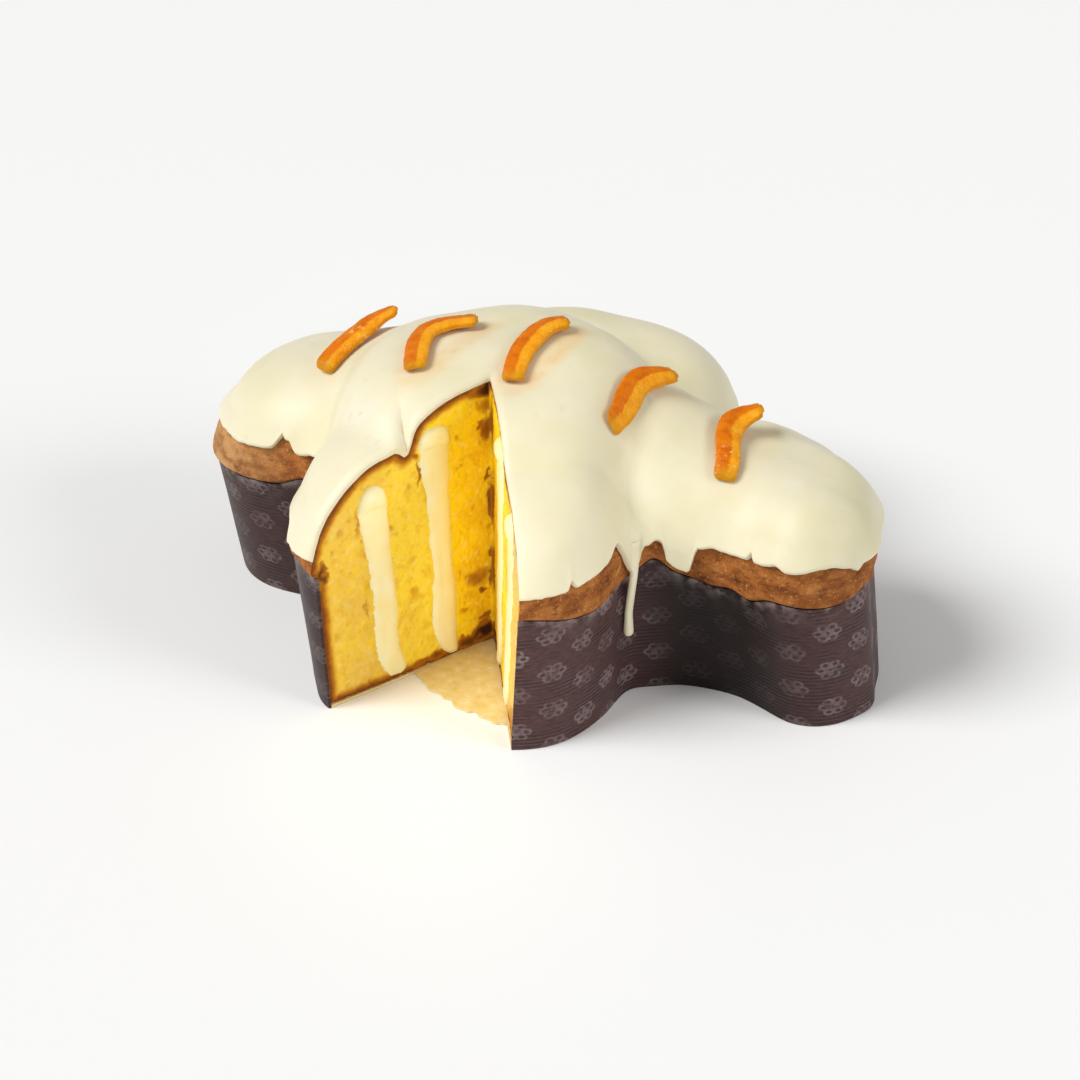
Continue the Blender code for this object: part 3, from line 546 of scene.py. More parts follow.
def capped_tube(name, rings):
    """Closed piece from rings of equally many points, with a flat face over each end."""
    count = len(rings[0])
    faces = ring_quads(count, len(rings))
    faces.append(tuple(reversed(range(count))))
    faces.append(tuple(range((len(rings) - 1) * count, len(rings) * count)))
    piece = make_object(name, np.vstack(rings), faces)
    outward(piece)
    return piece


def ridge_quads(half, ring_start, ridge_start):
    """Faces between the last ring and the ridge, which both sides share."""
    count = 2 * half
    faces = []
    for i in range(count):
        j = (i + 1) % count
        here = ridge_start + (i if i <= half else count - i)
        ahead = ridge_start + (j if j <= half else count - j)
        faces.append((ring_start + i, ring_start + j, ahead, here))
    return faces


def ring_normals(rows):
    """Outward directions of a sheet given as rows of closed rings, listed upward."""
    around = np.roll(rows, -1, axis=1) - np.roll(rows, 1, axis=1)
    up = np.gradient(rows, axis=0)
    normal = np.cross(around, up)
    normal /= np.maximum(np.linalg.norm(normal, axis=2, keepdims=True), 1e-12)
    return normal


def boolean(piece, cutter, operation, solver="MANIFOLD"):
    """Cut or join, applied at once. The other shape is then removed."""
    step = piece.modifiers.new("step", "BOOLEAN")
    step.operation = operation
    step.solver = solver
    step.object = cutter
    bpy.context.view_layer.update()
    made = bpy.data.meshes.new_from_object(piece.evaluated_get(bpy.context.evaluated_depsgraph_get()))
    piece.modifiers.clear()
    old = piece.data
    piece.data = made
    bpy.data.meshes.remove(old)
    bpy.data.objects.remove(cutter, do_unlink=True)


def vertex_array(piece):
    flat = np.empty(len(piece.data.vertices) * 3)
    piece.data.vertices.foreach_get("co", flat)
    return flat.reshape(-1, 3)


def put_value(piece, name, values):
    """Keep one number for each vertex, for the material to read."""
    layer = piece.data.attributes.new(name, "FLOAT", "POINT")
    layer.data.foreach_set("value", np.asarray(values, dtype=np.float32))


def smooth(piece, degrees):
    piece.data.shade_smooth()
    piece.data.set_sharp_from_angle(angle=math.radians(degrees))


# Node helpers

def rgb(text):
    """Scene-linear colour from the usual six-figure way of writing one."""
    parts = [int(text[i:i + 2], 16) / 255 for i in (1, 3, 5)]
    linear = [part / 12.92 if part <= 0.04045 else ((part + 0.055) / 1.055) ** 2.4 for part in parts]
    return (*linear, 1.0)


class Nodes:
    """A material under construction."""

    def __init__(self, name):
        self.material = bpy.data.materials.new(name)
        self.material.use_nodes = True
        self.tree = self.material.node_tree
        self.shader = self.tree.nodes["Principled BSDF"]

    def feed(self, socket, value):
        if isinstance(value, bpy.types.NodeSocket):
            self.tree.links.new(value, socket)
        else:
            socket.default_value = value

    def set(self, **values):
        """Set or link the main shader's inputs, named with underscores for spaces."""
        for name, value in values.items():
            self.feed(self.shader.inputs[name.replace("_", " ")], value)

    def place(self):
        return self.tree.nodes.new("ShaderNodeTexCoord").outputs["Object"]

    def value(self, name):
        node = self.tree.nodes.new("ShaderNodeAttribute")
        node.attribute_name = name
        return node.outputs["Fac"]

    def math(self, operation, first, second=0.0, third=0.0, clamp=False):
        node = self.tree.nodes.new("ShaderNodeMath")
        node.operation = operation
        node.use_clamp = clamp
        for socket, value in zip(node.inputs, (first, second, third)):
            self.feed(socket, value)
        return node.outputs[0]

    def times(self, first, second):
        return self.math("MULTIPLY", first, second)

    def length(self, first, second):
        squares = self.math("MULTIPLY_ADD", first, first, self.times(second, second))
        return self.math("SQRT", squares)

    def scaled(self, vector, factors):
        node = self.tree.nodes.new("ShaderNodeVectorMath")
        node.operation = "MULTIPLY"
        self.feed(node.inputs[0], vector)
        node.inputs[1].default_value = factors
        return node.outputs[0]

    def noise(self, vector, scale, detail=3.0, roughness=0.5):
        node = self.tree.nodes.new("ShaderNodeTexNoise")
        self.feed(node.inputs["Vector"], vector)
        node.inputs["Scale"].default_value = scale
        node.inputs["Detail"].default_value = detail
        node.inputs["Roughness"].default_value = roughness
        return node.outputs["Fac"]

    def cells(self, vector, scale):
        node = self.tree.nodes.new("ShaderNodeTexVoronoi")
        self.feed(node.inputs["Vector"], vector)
        node.inputs["Scale"].default_value = scale
        return node.outputs["Distance"]

    def ramp(self, factor, stops, smoothly=True):
        """Number or colour by factor: stops are (place, value), values numbers or colours."""
        node = self.tree.nodes.new("ShaderNodeValToRGB")
        node.color_ramp.interpolation = "EASE" if smoothly else "LINEAR"
        elements = node.color_ramp.elements
        while len(elements) < len(stops):
            elements.new(0.5)
        for element, (place, value) in zip(elements, stops):
            element.position = place
            element.color = rgb(value) if isinstance(value, str) else (value, value, value, 1.0)
        self.feed(node.inputs["Fac"], factor)
        return node.outputs["Color"]

    def tint(self, colour, place, tints):
        """Lay other colours over a colour in patches of noise."""
        for scale, detail, roughness, low, high, strength, other in tints:
            patch = self.steps(self.noise(place, scale, detail, roughness), low, high)
            colour = self.mix(self.times(patch, strength), colour, other)
        return colour

    def mix(self, factor, first, second):
        node = self.tree.nodes.new("ShaderNodeMix")
        node.data_type = "RGBA"
        self.feed(node.inputs[0], factor)
        for socket, value in ((node.inputs[6], first), (node.inputs[7], second)):
            self.feed(socket, rgb(value) if isinstance(value, str) else value)
        return node.outputs[2]

    def bump(self, height, distance, strength=1.0, normal=None):
        node = self.tree.nodes.new("ShaderNodeBump")
        node.inputs["Strength"].default_value = strength
        node.inputs["Distance"].default_value = distance
        self.feed(node.inputs["Height"], height)
        if normal is not None:
            self.feed(node.inputs["Normal"], normal)
        return node.outputs[0]

    def steps(self, value, low, high):
        """0 below low, 1 above high, smooth between."""
        node = self.tree.nodes.new("ShaderNodeMapRange")
        node.interpolation_type = "SMOOTHSTEP"
        self.feed(node.inputs["Value"], value)
        node.inputs["From Min"].default_value = low
        node.inputs["From Max"].default_value = high
        return node.outputs[0]


# The cut: two upright planes from the apex, the right one leaning out as it rises through the case

CUT_CORNERS = {"left": (CUT_LEFT, CUT_LEFT), "right": (CUT_RIGHT, CUT_RIGHT_HIGH)}
CUT_REACH = 0.130
CUT_LOW = -0.006
CUT_HIGH = 0.140
ICING_CUT_STEP = 0.0012
WALL_CUT_STEP = 0.010
# Crumb in the cut. Pores: share of their depth kept, cell, least and greatest radius, share of cells, draw
CRUMB_PORES = [(0.42, 0.0068, 0.0008, 0.0021, 0.32, 0), (0.60, 0.0034, 0.0004, 0.0012, 0.50, 10),
               (0.70, 0.0019, 0.0003, 0.0007, 0.60, 20)]
CRUMB_DRAWS = {"left": 11, "right": 57}
CRUMB_SQUASH = 0.85
CRUMB_BEND = {"reach": 0.0012, "size": 0.006, "draws": (91, 92)}
CRUMB_LUMPS = {"height": 0.0006, "size": 0.012, "draw": 30, "lift": 0.6}
CRUMB_GRAIN = {"height": 0.00025, "size": 0.0016, "draw": 40, "layers": 2}
KNIFE_WOBBLE = {"height": 0.00025, "size": 0.006, "draws": {"left": 5, "right": 6}}


def cut_axes(side, z):
    """Direction along a cut seen from above, and the direction into the bread, at each height."""
    low, high = CUT_CORNERS[side]
    share = np.clip(z / CUT_LEAN_TOP, 0.0, 1.0)
    along = np.stack([low[i] + (high[i] - low[i]) * share - CUT_APEX[i] for i in (0, 1)], axis=-1)
    along = along / np.linalg.norm(along, axis=-1, keepdims=True)
    turn = 1.0 if side == "left" else -1.0
    return along, turn * np.stack([along[..., 1], -along[..., 0]], axis=-1)


def cut_point(side, out, deep, z):
    """Finished place of a point out along a cut, deep into the bread."""
    out, deep, z = np.broadcast_arrays(out, deep, z)
    along, into = cut_axes(side, z)
    flat = np.array(CUT_APEX) + along * out[..., None] + into * deep[..., None] + np.array(MIDDLE_SHIFT)
    return np.concatenate([flat, z[..., None]], axis=-1)


def wedge_cutter(name, step, relief):
    """Closed wedge whose two faces carry relief, a depth into the bread at each place on each cut."""
    outs = np.arange(0.0, CUT_REACH + step, step)
    heights = np.arange(CUT_LOW, CUT_HIGH + step, step)
    grid_z, grid_out = np.meshgrid(heights, outs, indexing="ij")
    sheets = []
    for side in ("left", "right"):
        deep = relief(side, grid_out.ravel(), grid_z.ravel()).reshape(grid_z.shape)
        deep[:, 0] = 0.0
        deep[:, -1] = 0.0
        deep[0] = 0.0
        deep[-1] = 0.0
        sheets.append(cut_point(side, grid_out, deep, grid_z))
    rows = [np.concatenate([left[::-1], right[1:]]) for left, right in zip(*sheets)]
    return capped_tube(name, rows)


def crumb_relief(side, out, z):
    """Open crumb: pores of several sizes, lumps, and a slight pull where the knife dragged."""
    draw = CRUMB_DRAWS[side]
    places = np.column_stack([out, z * CRUMB_SQUASH])
    bend = [soft_noise(places, CRUMB_BEND["size"], draw + step) for step in CRUMB_BEND["draws"]]
    places = places + CRUMB_BEND["reach"] * np.column_stack(bend)
    depth = np.zeros(len(out))
    for kept, cell, small, large, share, step in CRUMB_PORES:
        depth = np.maximum(depth, kept * pores(places, cell, small, large, share, draw + step))
    lumps = layered_noise(places, CRUMB_LUMPS["size"], draw + CRUMB_LUMPS["draw"]) + CRUMB_LUMPS["lift"]
    grain = layered_noise(places, CRUMB_GRAIN["size"], draw + CRUMB_GRAIN["draw"], CRUMB_GRAIN["layers"])
    return depth + CRUMB_LUMPS["height"] * np.maximum(lumps, 0.0) + CRUMB_GRAIN["height"] * (grain + 1.0)


def smooth_cut(side, out, z):
    return np.zeros(len(out))


def knife_wobble(side, out, z):
    wave = layered_noise(np.column_stack([out, z]), KNIFE_WOBBLE["size"], KNIFE_WOBBLE["draws"][side])
    return KNIFE_WOBBLE["height"] * (1.0 + wave)


# Bread: crust with relief, then cut

BREAD_ROWS_ABOVE = 44
CRUST_ROWS = 42
LIP_ROWS = 6
LIP_SHARES = (0.15, 0.90)
LIP_ROUNDNESS = 0.8
# Crust of the head is paler, from this place along X
PALE_CRUST_FROM = -0.094
PALE_CRUST_FADE = 0.030
# Upright crack in the crust of the tail: place round the loaf in degrees, half width and depth
CRACK = {"place": -29.7, "half_width": 0.55, "depth": 0.0009}
CRUST_WAVES = [(0.00045, 0.011, 3, 3), (0.00026, 0.0032, 8, 2)]
# Fine cracks all over the crust, where a soft random value comes near its middle
FINE_CRACKS = {"depth": 0.00065, "size": 0.009, "stretch": (1.0, 1.0, 1.6), "draw": 21, "from": 0.90}
# The relief starts this far over the paper, and is fainter from this far over the icing's edge
RELIEF_FROM = 0.0008
ICED_FROM = 0.0010
RELIEF_FADE = 0.003
ICED_LOSS = 0.6
# A point belongs to a face of the cut when it is this deep under the crust and this near the face
UNDER_CRUST = 0.00002
NEAR_FACE = 0.0035
BEFORE_APEX = -0.002


def crust_crack(places):
    turn = np.degrees(places) - CRACK["place"]
    return CRACK["depth"] * np.exp(-(turn / CRACK["half_width"]) ** 2)


def crust_relief(points):
    """Wrinkled, slightly cracked crust."""
    stretched = points * np.array(FINE_CRACKS["stretch"])
    value = soft_noise(stretched, FINE_CRACKS["size"], FINE_CRACKS["draw"])
    crease = (1.0 - np.abs(value) - FINE_CRACKS["from"]) / (1.0 - FINE_CRACKS["from"])
    return random_waves(points, CRUST_WAVES) - FINE_CRACKS["depth"] * np.clip(crease, 0.0, 1.0)


def build_bread(plan):
    inset = -PAPER - GAP
    lift = paper_lift(plan["place"])
    over_paper = CASE_HEIGHT + GAP + lift
    rings = [
        flat_ring(plan, inset, PAPER + GAP),
        flat_ring(plan, inset + 0.5 * CASE_FLARE, 0.5 * over_paper),
        flat_ring(plan, inset + CASE_FLARE, over_paper),
    ]
    start = inset + CASE_FLARE
    for share in np.linspace(*LIP_SHARES, LIP_ROWS):
        turn = share * math.pi / 2
        rings.append(flat_ring(plan, start + (CRUST_BULGE - start) * math.sin(turn) ** LIP_ROUNDNESS,
                               over_paper + (RIM - CASE_HEIGHT - GAP) * (1.0 - math.cos(turn))))
    profiles = dome_profiles(plan, 0.0)
    runs = run_lengths(profiles)
    near = np.broadcast_to(FINE_STEP * np.arange(CRUST_ROWS), (len(profiles), CRUST_ROWS))
    first = FINE_STEP * CRUST_ROWS
    shares = (np.arange(BREAD_ROWS_ABOVE) / BREAD_ROWS_ABOVE)[None, :]
    above = first + (runs[:, -1:] - first) * shares
    dome = points_along(profiles, runs, np.concatenate([near, above], axis=1))
    rows = np.concatenate([np.stack(rings), dome])
    normals = ring_normals(rows)
    relief = crust_relief(rows.reshape(-1, 3)).reshape(rows.shape[:2]) - crust_crack(plan["place"])[None, :]
    rise = np.clip((rows[:, :, 2] - CASE_HEIGHT - lift[None, :] - RELIEF_FROM) / RELIEF_FADE, 0.0, 1.0)
    iced = np.clip((rows[:, :, 2] - icing_line(plan)[None, :] - ICED_FROM) / RELIEF_FADE, 0.0, 1.0)
    rows = rows + normals * (relief * rise * (1.0 - ICED_LOSS * iced))[:, :, None]
    count = 2 * plan["half"]
    faces = ring_quads(count, len(rows))
    faces.append(tuple(reversed(range(count))))
    faces += ridge_quads(plan["half"], (len(rows) - 1) * count, len(rows) * count)
    x, y = spine(np.arange(plan["half"] + 1) / plan["half"])
    ridge = np.column_stack([x, y, dome_height(x, y, 0.0)])
    bread = make_object("crumb_and_crust", settle(np.vstack([rows.reshape(-1, 3), ridge])), faces)
    outward(bread)
    whole = BVHTree.FromPolygons([v.co.copy() for v in bread.data.vertices],
                                 [tuple(p.vertices) for p in bread.data.polygons])
    boolean(bread, wedge_cutter("crumb_cutter", CRUMB_STEP, crumb_relief), "DIFFERENCE")
    finish_bread(bread, whole)
    return bread


def finish_bread(bread, whole):
    """Give each point of the bread its depth under the crust, its pore depth, its tone, and its dark marks:
    browning, and painted shade in crevices.
    """
    points = vertex_array(bread)
    depth = np.array([whole.find_nearest(Vector(point))[3] for point in points])
    flat = points[:, :2] - MIDDLE_SHIFT - np.array(CUT_APEX)
    values = {"depth": depth, "pore": np.zeros(len(points)), "tone": np.zeros(len(points)),
              "mark": np.zeros(len(points))}
    best = np.full(len(points), 1e9)
    for side in CUT_CORNERS:
        along, into = cut_axes(side, points[:, 2])
        out = (flat * along).sum(axis=1)
        deep = (flat * into).sum(axis=1)
        from_face = np.abs(deep)
        here = (depth > UNDER_CRUST) & (from_face < NEAR_FACE) & (out > BEFORE_APEX) & (from_face < best)
        best = np.where(here, from_face, best)
        values["pore"] = np.where(here, np.clip(deep, 0.0, 1.0), values["pore"])
        values["tone"] = np.where(here, crumb_tone(side, out, points[:, 2]), values["tone"])
        values["mark"] = np.where(here, browning_and_crevice_shade(side, out, points[:, 2]), values["mark"])
    values["pale"] = np.clip((PALE_CRUST_FROM - points[:, 0]) / PALE_CRUST_FADE, 0.0, 1.0)
    for name, numbers in values.items():
        put_value(bread, name, numbers)
    smooth(bread, 60)


# Depth of the crumb's gold by distance from the cut's apex, how far it wanders, and the paler top by the apex
CRUMB_TONES = {"left": ([0.006, 0.019, 0.030, 0.045, 0.060], [0.86, 0.72, 0.46, 0.40, 0.22]),
               "right": ([0.006, 0.030, 0.045, 0.062], [0.80, 0.52, 0.38, 0.04])}
TONE_WANDER = {"share": 0.16, "size": 0.013, "draws": {"left": 71, "right": 72}}
PALER_TOP = {"share": 0.14, "from": 0.085, "fade": 0.020, "within": 0.024}


def crumb_tone(side, out, z):
    """0 where the crumb is palest, 1 where it is deep golden: deeper toward the middle of the loaf."""
    blotch = layered_noise(np.column_stack([out, z]), TONE_WANDER["size"], TONE_WANDER["draws"][side])
    plain = np.interp(out, *CRUMB_TONES[side])
    if side == "left":
        rise = np.clip((z - PALER_TOP["from"]) / PALER_TOP["fade"], 0.0, 1.0)
        plain = plain - PALER_TOP["share"] * rise * (out < PALER_TOP["within"])
    return np.clip(plain + TONE_WANDER["share"] * blotch, 0.0, 1.0)


# Dark places on the cut, browned knots and foot, lines along the apex, and painted shade in the crevices
# beside the cream: side, out along the cut, height, half width, half height, strength
CUT_MARKS = {
    "baked tip under the icing": ("left", 0.0015, 0.1160, 0.0070, 0.0042, 0.95),
    "under the tip": ("left", 0.0010, 0.1090, 0.0060, 0.0040, 0.42),
    "knot below the tip": ("left", 0.0040, 0.1005, 0.0020, 0.0020, 0.55),
    "upper knots at the apex": ("left", 0.0005, 0.0975, 0.0038, 0.0058, 0.66),
    "small knot at mid height": ("left", 0.0018, 0.0780, 0.0014, 0.0032, 0.66),
    "ragged line at the apex": ("left", 0.0000, 0.0645, 0.0018, 0.0105, 0.72),
    "lower ragged line": ("left", 0.0000, 0.0370, 0.0014, 0.0110, 0.72),
    "patch low on the cut": ("left", 0.0070, 0.0325, 0.0070, 0.0052, 0.46),
    "knot in the patch": ("left", 0.0042, 0.0266, 0.0018, 0.0014, 0.78),
    "faint knot": ("left", 0.0136, 0.0203, 0.0030, 0.0016, 0.38),
    "knots over the foot": ("left", 0.0028, 0.0130, 0.0040, 0.0018, 0.62),
    "burnt foot at the apex": ("left", 0.0036, 0.0066, 0.0068, 0.0048, 1.0),
    "browned foot": ("left", 0.0115, 0.0048, 0.0070, 0.0034, 0.84),
    "browned foot by the inner cream": ("left", 0.0265, 0.0042, 0.0045, 0.0030, 0.78),
    "browned foot between the creams": ("left", 0.0345, 0.0032, 0.0050, 0.0024, 0.58),
    # Painted shade in the crevices beside the cream
    "crevice over the inner cream": ("left", 0.0352, 0.0975, 0.0011, 0.0030, 0.55),
    "crevice by the inner cream": ("left", 0.0338, 0.0895, 0.0010, 0.0070, 0.50),
    "crevice by the outer cream": ("left", 0.0612, 0.0770, 0.0011, 0.0085, 0.36),
    "low crevice by the outer cream": ("left", 0.0592, 0.0380, 0.0014, 0.0070, 0.34),
    "baked corner over the paper": ("left", 0.0782, 0.0600, 0.0022, 0.0060, 0.86),
    "upper line by the apex": ("right", 0.0010, 0.1000, 0.0030, 0.0110, 0.50),
    "ragged line by the apex": ("right", 0.0010, 0.0660, 0.0034, 0.0130, 0.60),
    "lower line by the apex": ("right", 0.0010, 0.0360, 0.0030, 0.0120, 0.60),
    "burnt foot by the apex": ("right", 0.0040, 0.0060, 0.0070, 0.0038, 0.80),
    "browned foot at the edge": ("right", 0.0680, 0.0060, 0.0160, 0.0080, 0.42),
}


# How the marks' edges wander: reach, length and the two draws
MARK_WANDER = [(0.0014, 0.0030, (95, 96)), (0.0005, 0.0012, (97, 98))]
MARK_FALL = 1.5


def browning_and_crevice_shade(side, out, z):
    """0 where the cut is plain crumb, 1 where it is nearly black."""
    places = np.column_stack([out, z])
    moved = places
    for reach, size, draws in MARK_WANDER:
        moved = moved + reach * np.column_stack([soft_noise(places, size, draw) for draw in draws])
    darkest = np.zeros(len(out))
    for mark_side, at_out, at_z, half_out, half_z, strength in CUT_MARKS.values():
        if mark_side == side:
            away = ((moved[:, 0] - at_out) / half_out) ** 2 + ((moved[:, 1] - at_z) / half_z) ** 2
            darkest = np.maximum(darkest, strength * np.exp(-away ** MARK_FALL))
    return darkest


# Icing: a poured skin with a rounded, wavy lower edge

# Narrower runs and nicks of the icing's edge: place round the loaf in degrees, half width, rise
SMALL_RUNS = [
    ("narrow notch on the head", -157.6, 0.6, 0.0040),
    ("lower side of the notch", -155.0, 1.8, -0.0032),
    ("low point on the cut wing", -124.0, 1.6, -0.0040),
    ("low stretch on the near wing", -70.0, 6.0, -0.0024),
    ("nick on the near wing", -71.6, 0.50, 0.0035),
    ("drip's root", -54.6, 1.8, -0.0040),
    ("right side of the drip's root", -52.8, 0.7, -0.0030),
    ("left foot of the arch", -51.4, 0.6, 0.0020),
    ("left side of the waist's run", -46.9, 0.8, -0.0058),
    ("middle of the waist's run", -45.6, 1.3, -0.0045),
    ("right side of the waist's run", -42.4, 0.6, -0.0026),
    ("shoulder after the run", -41.1, 0.6, 0.0022),
    ("nick on the tail", -29.7, 0.45, 0.0028),
    ("rise on the tail", -25.0, 1.2, 0.0018),
    ("low point at the tail's end", -12.2, 0.7, -0.0018),
]


def icing_edge(places):
    """Height of the icing's lower edge, wavy with runs and notches."""
    edge = ICING_EDGE + ripple(places, ICING_RIPPLES) + run_rises(places, ICING_RUNS)
    return np.maximum(edge, RIM + paper_lift(places) + LOWEST_ICING)


def icing_line(plan):
    """The icing's lower edge with its narrow runs and nicks."""
    edge = icing_edge(plan["place"]) + run_rises(plan["place"], SMALL_RUNS)
    ring = np.column_stack([plan["x"], plan["y"]])
    edge = edge + random_waves(ring, ICING_LINE_WAVES)
    return np.maximum(edge, RIM + paper_lift(plan["place"]) + LOWEST_ICING)


ICING_EDGE_STEPS = [0.0, 0.00012, 0.00030, 0.00055, 0.0009, 0.0013, 0.0018, 0.0024, 0.0031, 0.0040, 0.0052,
                    0.0067]
ICING_ROWS_ABOVE = 62
ICING_LINE_WAVES = [(0.0005, 0.007, 31, 3), (0.0003, 0.0022, 34, 1)]
ICING_WAVES = [(0.00030, 0.022, 41, 2), (0.00010, 0.006, 44, 1)]
WAVE_FADE = 0.010
BEAD_REACH = 0.0016
# The icing is thicker just over its edge
SWELL = 0.30
SWELL_REACH = 0.0045
CUT_THIN_REACH = 0.0032
CUT_THIN_LEAST = 0.06
CUT_SINK = 0.0005


def beside_cut(points):
    """Distance of upright points from the nearer face of the cut, along the surface of the loaf."""
    nearest = np.full(len(points), 1.0)
    flat = points[:, :2] - np.array(CUT_APEX)
    for side in CUT_CORNERS:
        along, into = cut_axes(side, points[:, 2])
        out = (flat * along).sum(axis=1)
        deep = np.abs((flat * into).sum(axis=1))
        nearest = np.minimum(nearest, np.where(out > 0.0, deep, np.hypot(out, deep)))
    return nearest


NORMAL_ROWS = 90


def dome_normals(x, y):
    """Outward directions of the dome at points of the plan."""
    rise_x = dome_height(x + DOME_STEP, y, ICING_GAP) - dome_height(x - DOME_STEP, y, ICING_GAP)
    rise_y = dome_height(x, y + DOME_STEP, ICING_GAP) - dome_height(x, y - DOME_STEP, ICING_GAP)
    slope_x = rise_x / (2 * DOME_STEP)
    slope_y = rise_y / (2 * DOME_STEP)
    normals = np.column_stack([-slope_x, -slope_y, np.ones(len(x))])
    return normals / np.linalg.norm(normals, axis=1, keepdims=True)


def even_normals(profiles, runs, distances):
    """Outward directions up each profile, taken from even rows that follow no run or nick."""
    even = np.linspace(0.0, 1.0, NORMAL_ROWS)[None, :] * runs[:, -1:]
    normals = ring_normals(points_along(profiles, runs, even))
    placed = np.empty((distances.shape[1], len(profiles), 3))
    for i, (own, far) in enumerate(zip(even, distances)):
        for axis in range(3):
            placed[:, i, axis] = np.interp(far, own, normals[:, i, axis])
    return placed / np.maximum(np.linalg.norm(placed, axis=2, keepdims=True), 1e-9)


def build_icing(plan):
    """Skin of icing over the dome, thin and sunk beside the cut, with its drip."""
    profiles = dome_profiles(plan, ICING_GAP)
    runs = run_lengths(profiles)
    start = reach_height(profiles, runs, icing_line(plan))[:, None]
    steps = np.array(ICING_EDGE_STEPS)[None, :]
    last = start + ICING_EDGE_STEPS[-1]
    shares = (np.arange(1, ICING_ROWS_ABOVE) / ICING_ROWS_ABOVE)[None, :]
    distances = np.concatenate([start + steps, last + (runs[:, -1:] - last) * shares], axis=1)
    inner = points_along(profiles, runs, distances)
    normals = even_normals(profiles, runs, distances)
    past = distances.T - start.T
    bead = np.sqrt(1.0 - (1.0 - np.clip(past / BEAD_REACH, 0.0, 1.0)) ** 2)
    swell = 1.0 + SWELL * np.exp(-(past / SWELL_REACH) ** 2)
    flat = inner.reshape(-1, 3)
    waves = random_waves(flat, ICING_WAVES).reshape(past.shape)
    fade = np.clip(past / WAVE_FADE, 0.0, 1.0)
    beside = np.clip(beside_cut(flat) / CUT_THIN_REACH, 0.0, 1.0).reshape(past.shape)
    thinned = CUT_THIN_LEAST + (1.0 - CUT_THIN_LEAST) * np.sqrt(1.0 - (1.0 - beside) ** 2)
    thick = (ICING * bead * swell + waves * fade) * thinned
    sink = CUT_SINK * (1.0 - beside)
    outer = inner + normals * (thick - sink)[:, :, None]
    inner = inner - normals * sink[:, :, None]
    half = plan["half"]
    count = 2 * half
    x, y = spine(np.arange(half + 1) / half)
    low_ridge = np.column_stack([x, y, dome_height(x, y, ICING_GAP)])
    high_ridge = low_ridge + dome_normals(x, y) * (ICING + random_waves(low_ridge, ICING_WAVES))[:, None]
    rows = len(inner)
    points = [inner.reshape(-1, 3), low_ridge, outer[1:].reshape(-1, 3), high_ridge]
    low_ridge_start = rows * count
    outer_start = low_ridge_start + half + 1
    high_ridge_start = outer_start + (rows - 1) * count
    faces = ring_quads(count, rows)
    faces += ridge_quads(half, (rows - 1) * count, low_ridge_start)
    faces += [tuple(corner + outer_start for corner in face) for face in ring_quads(count, rows - 1)]
    faces += ridge_quads(half, outer_start + (rows - 2) * count, high_ridge_start)
    for i in range(count):
        j = (i + 1) % count
        faces.append((i, j, outer_start + j, outer_start + i))
    icing = make_object("poured_icing", settle(np.vstack(points)), faces)
    outward(icing)
    boolean(icing, build_drip(plan), "UNION")
    soften_root(icing, plan)
    boolean(icing, wedge_cutter("icing_cutter", ICING_CUT_STEP, knife_wobble), "DIFFERENCE")
    # Painted shadows of the peel strips on the icing
    put_value(icing, "peel_shadow_share", painted_peel_shadows(vertex_array(icing)))
    smooth(icing, 50)
    return icing


# Long drip of icing in the crease between the cut wing and the tail

DRIP_PLACE = math.radians(-54.6)
DRIP_SHIFT = 0.0014
DRIP_TOP = 0.070
DRIP_TIP = 0.027
DRIP_RADIUS = 0.0017
DRIP_LEAN = 0.0028
DRIP_SLANT = 0.014
DRIP_TIP_LENGTH = 0.0022
DRIP_TIP_LEAST = 0.08
DRIP_BULB = 0.22
DRIP_BULB_REACH = 0.005
# Depth of the drip as a share of its width, how far its middle stands out, and how it sways
DRIP_DEEP = 0.92
DRIP_OUT = 0.90
DRIP_SWAY = {"reach": 0.0004, "turns": 90.0, "start": 1.0}
# Heights between which the drip sinks into the icing above, and its form where it has sunk
DRIP_SINK = (0.056, 0.066)
SUNK_WIDTH = 1.8
SUNK_DEPTH = 0.35
SUNK_OUT = 0.5
ROOT_MIDDLE = 0.060
ROOT_REACH = 0.006
ROOT_ROUNDS = 6
DRIP_ROWS = 60
DRIP_SIDES = 20


def drip_line(plan):
    """Outline point above the drip, with its normal and the spine point that its line runs to."""
    near = slice(0, plan["half"] + 1)
    line = {key: np.array([np.interp(DRIP_PLACE, plan["place"][near], plan[key][near])])
            for key in ("x", "y", "normal_x", "normal_y", "core_x", "core_y")}
    return {**line, "place": np.array([DRIP_PLACE])}


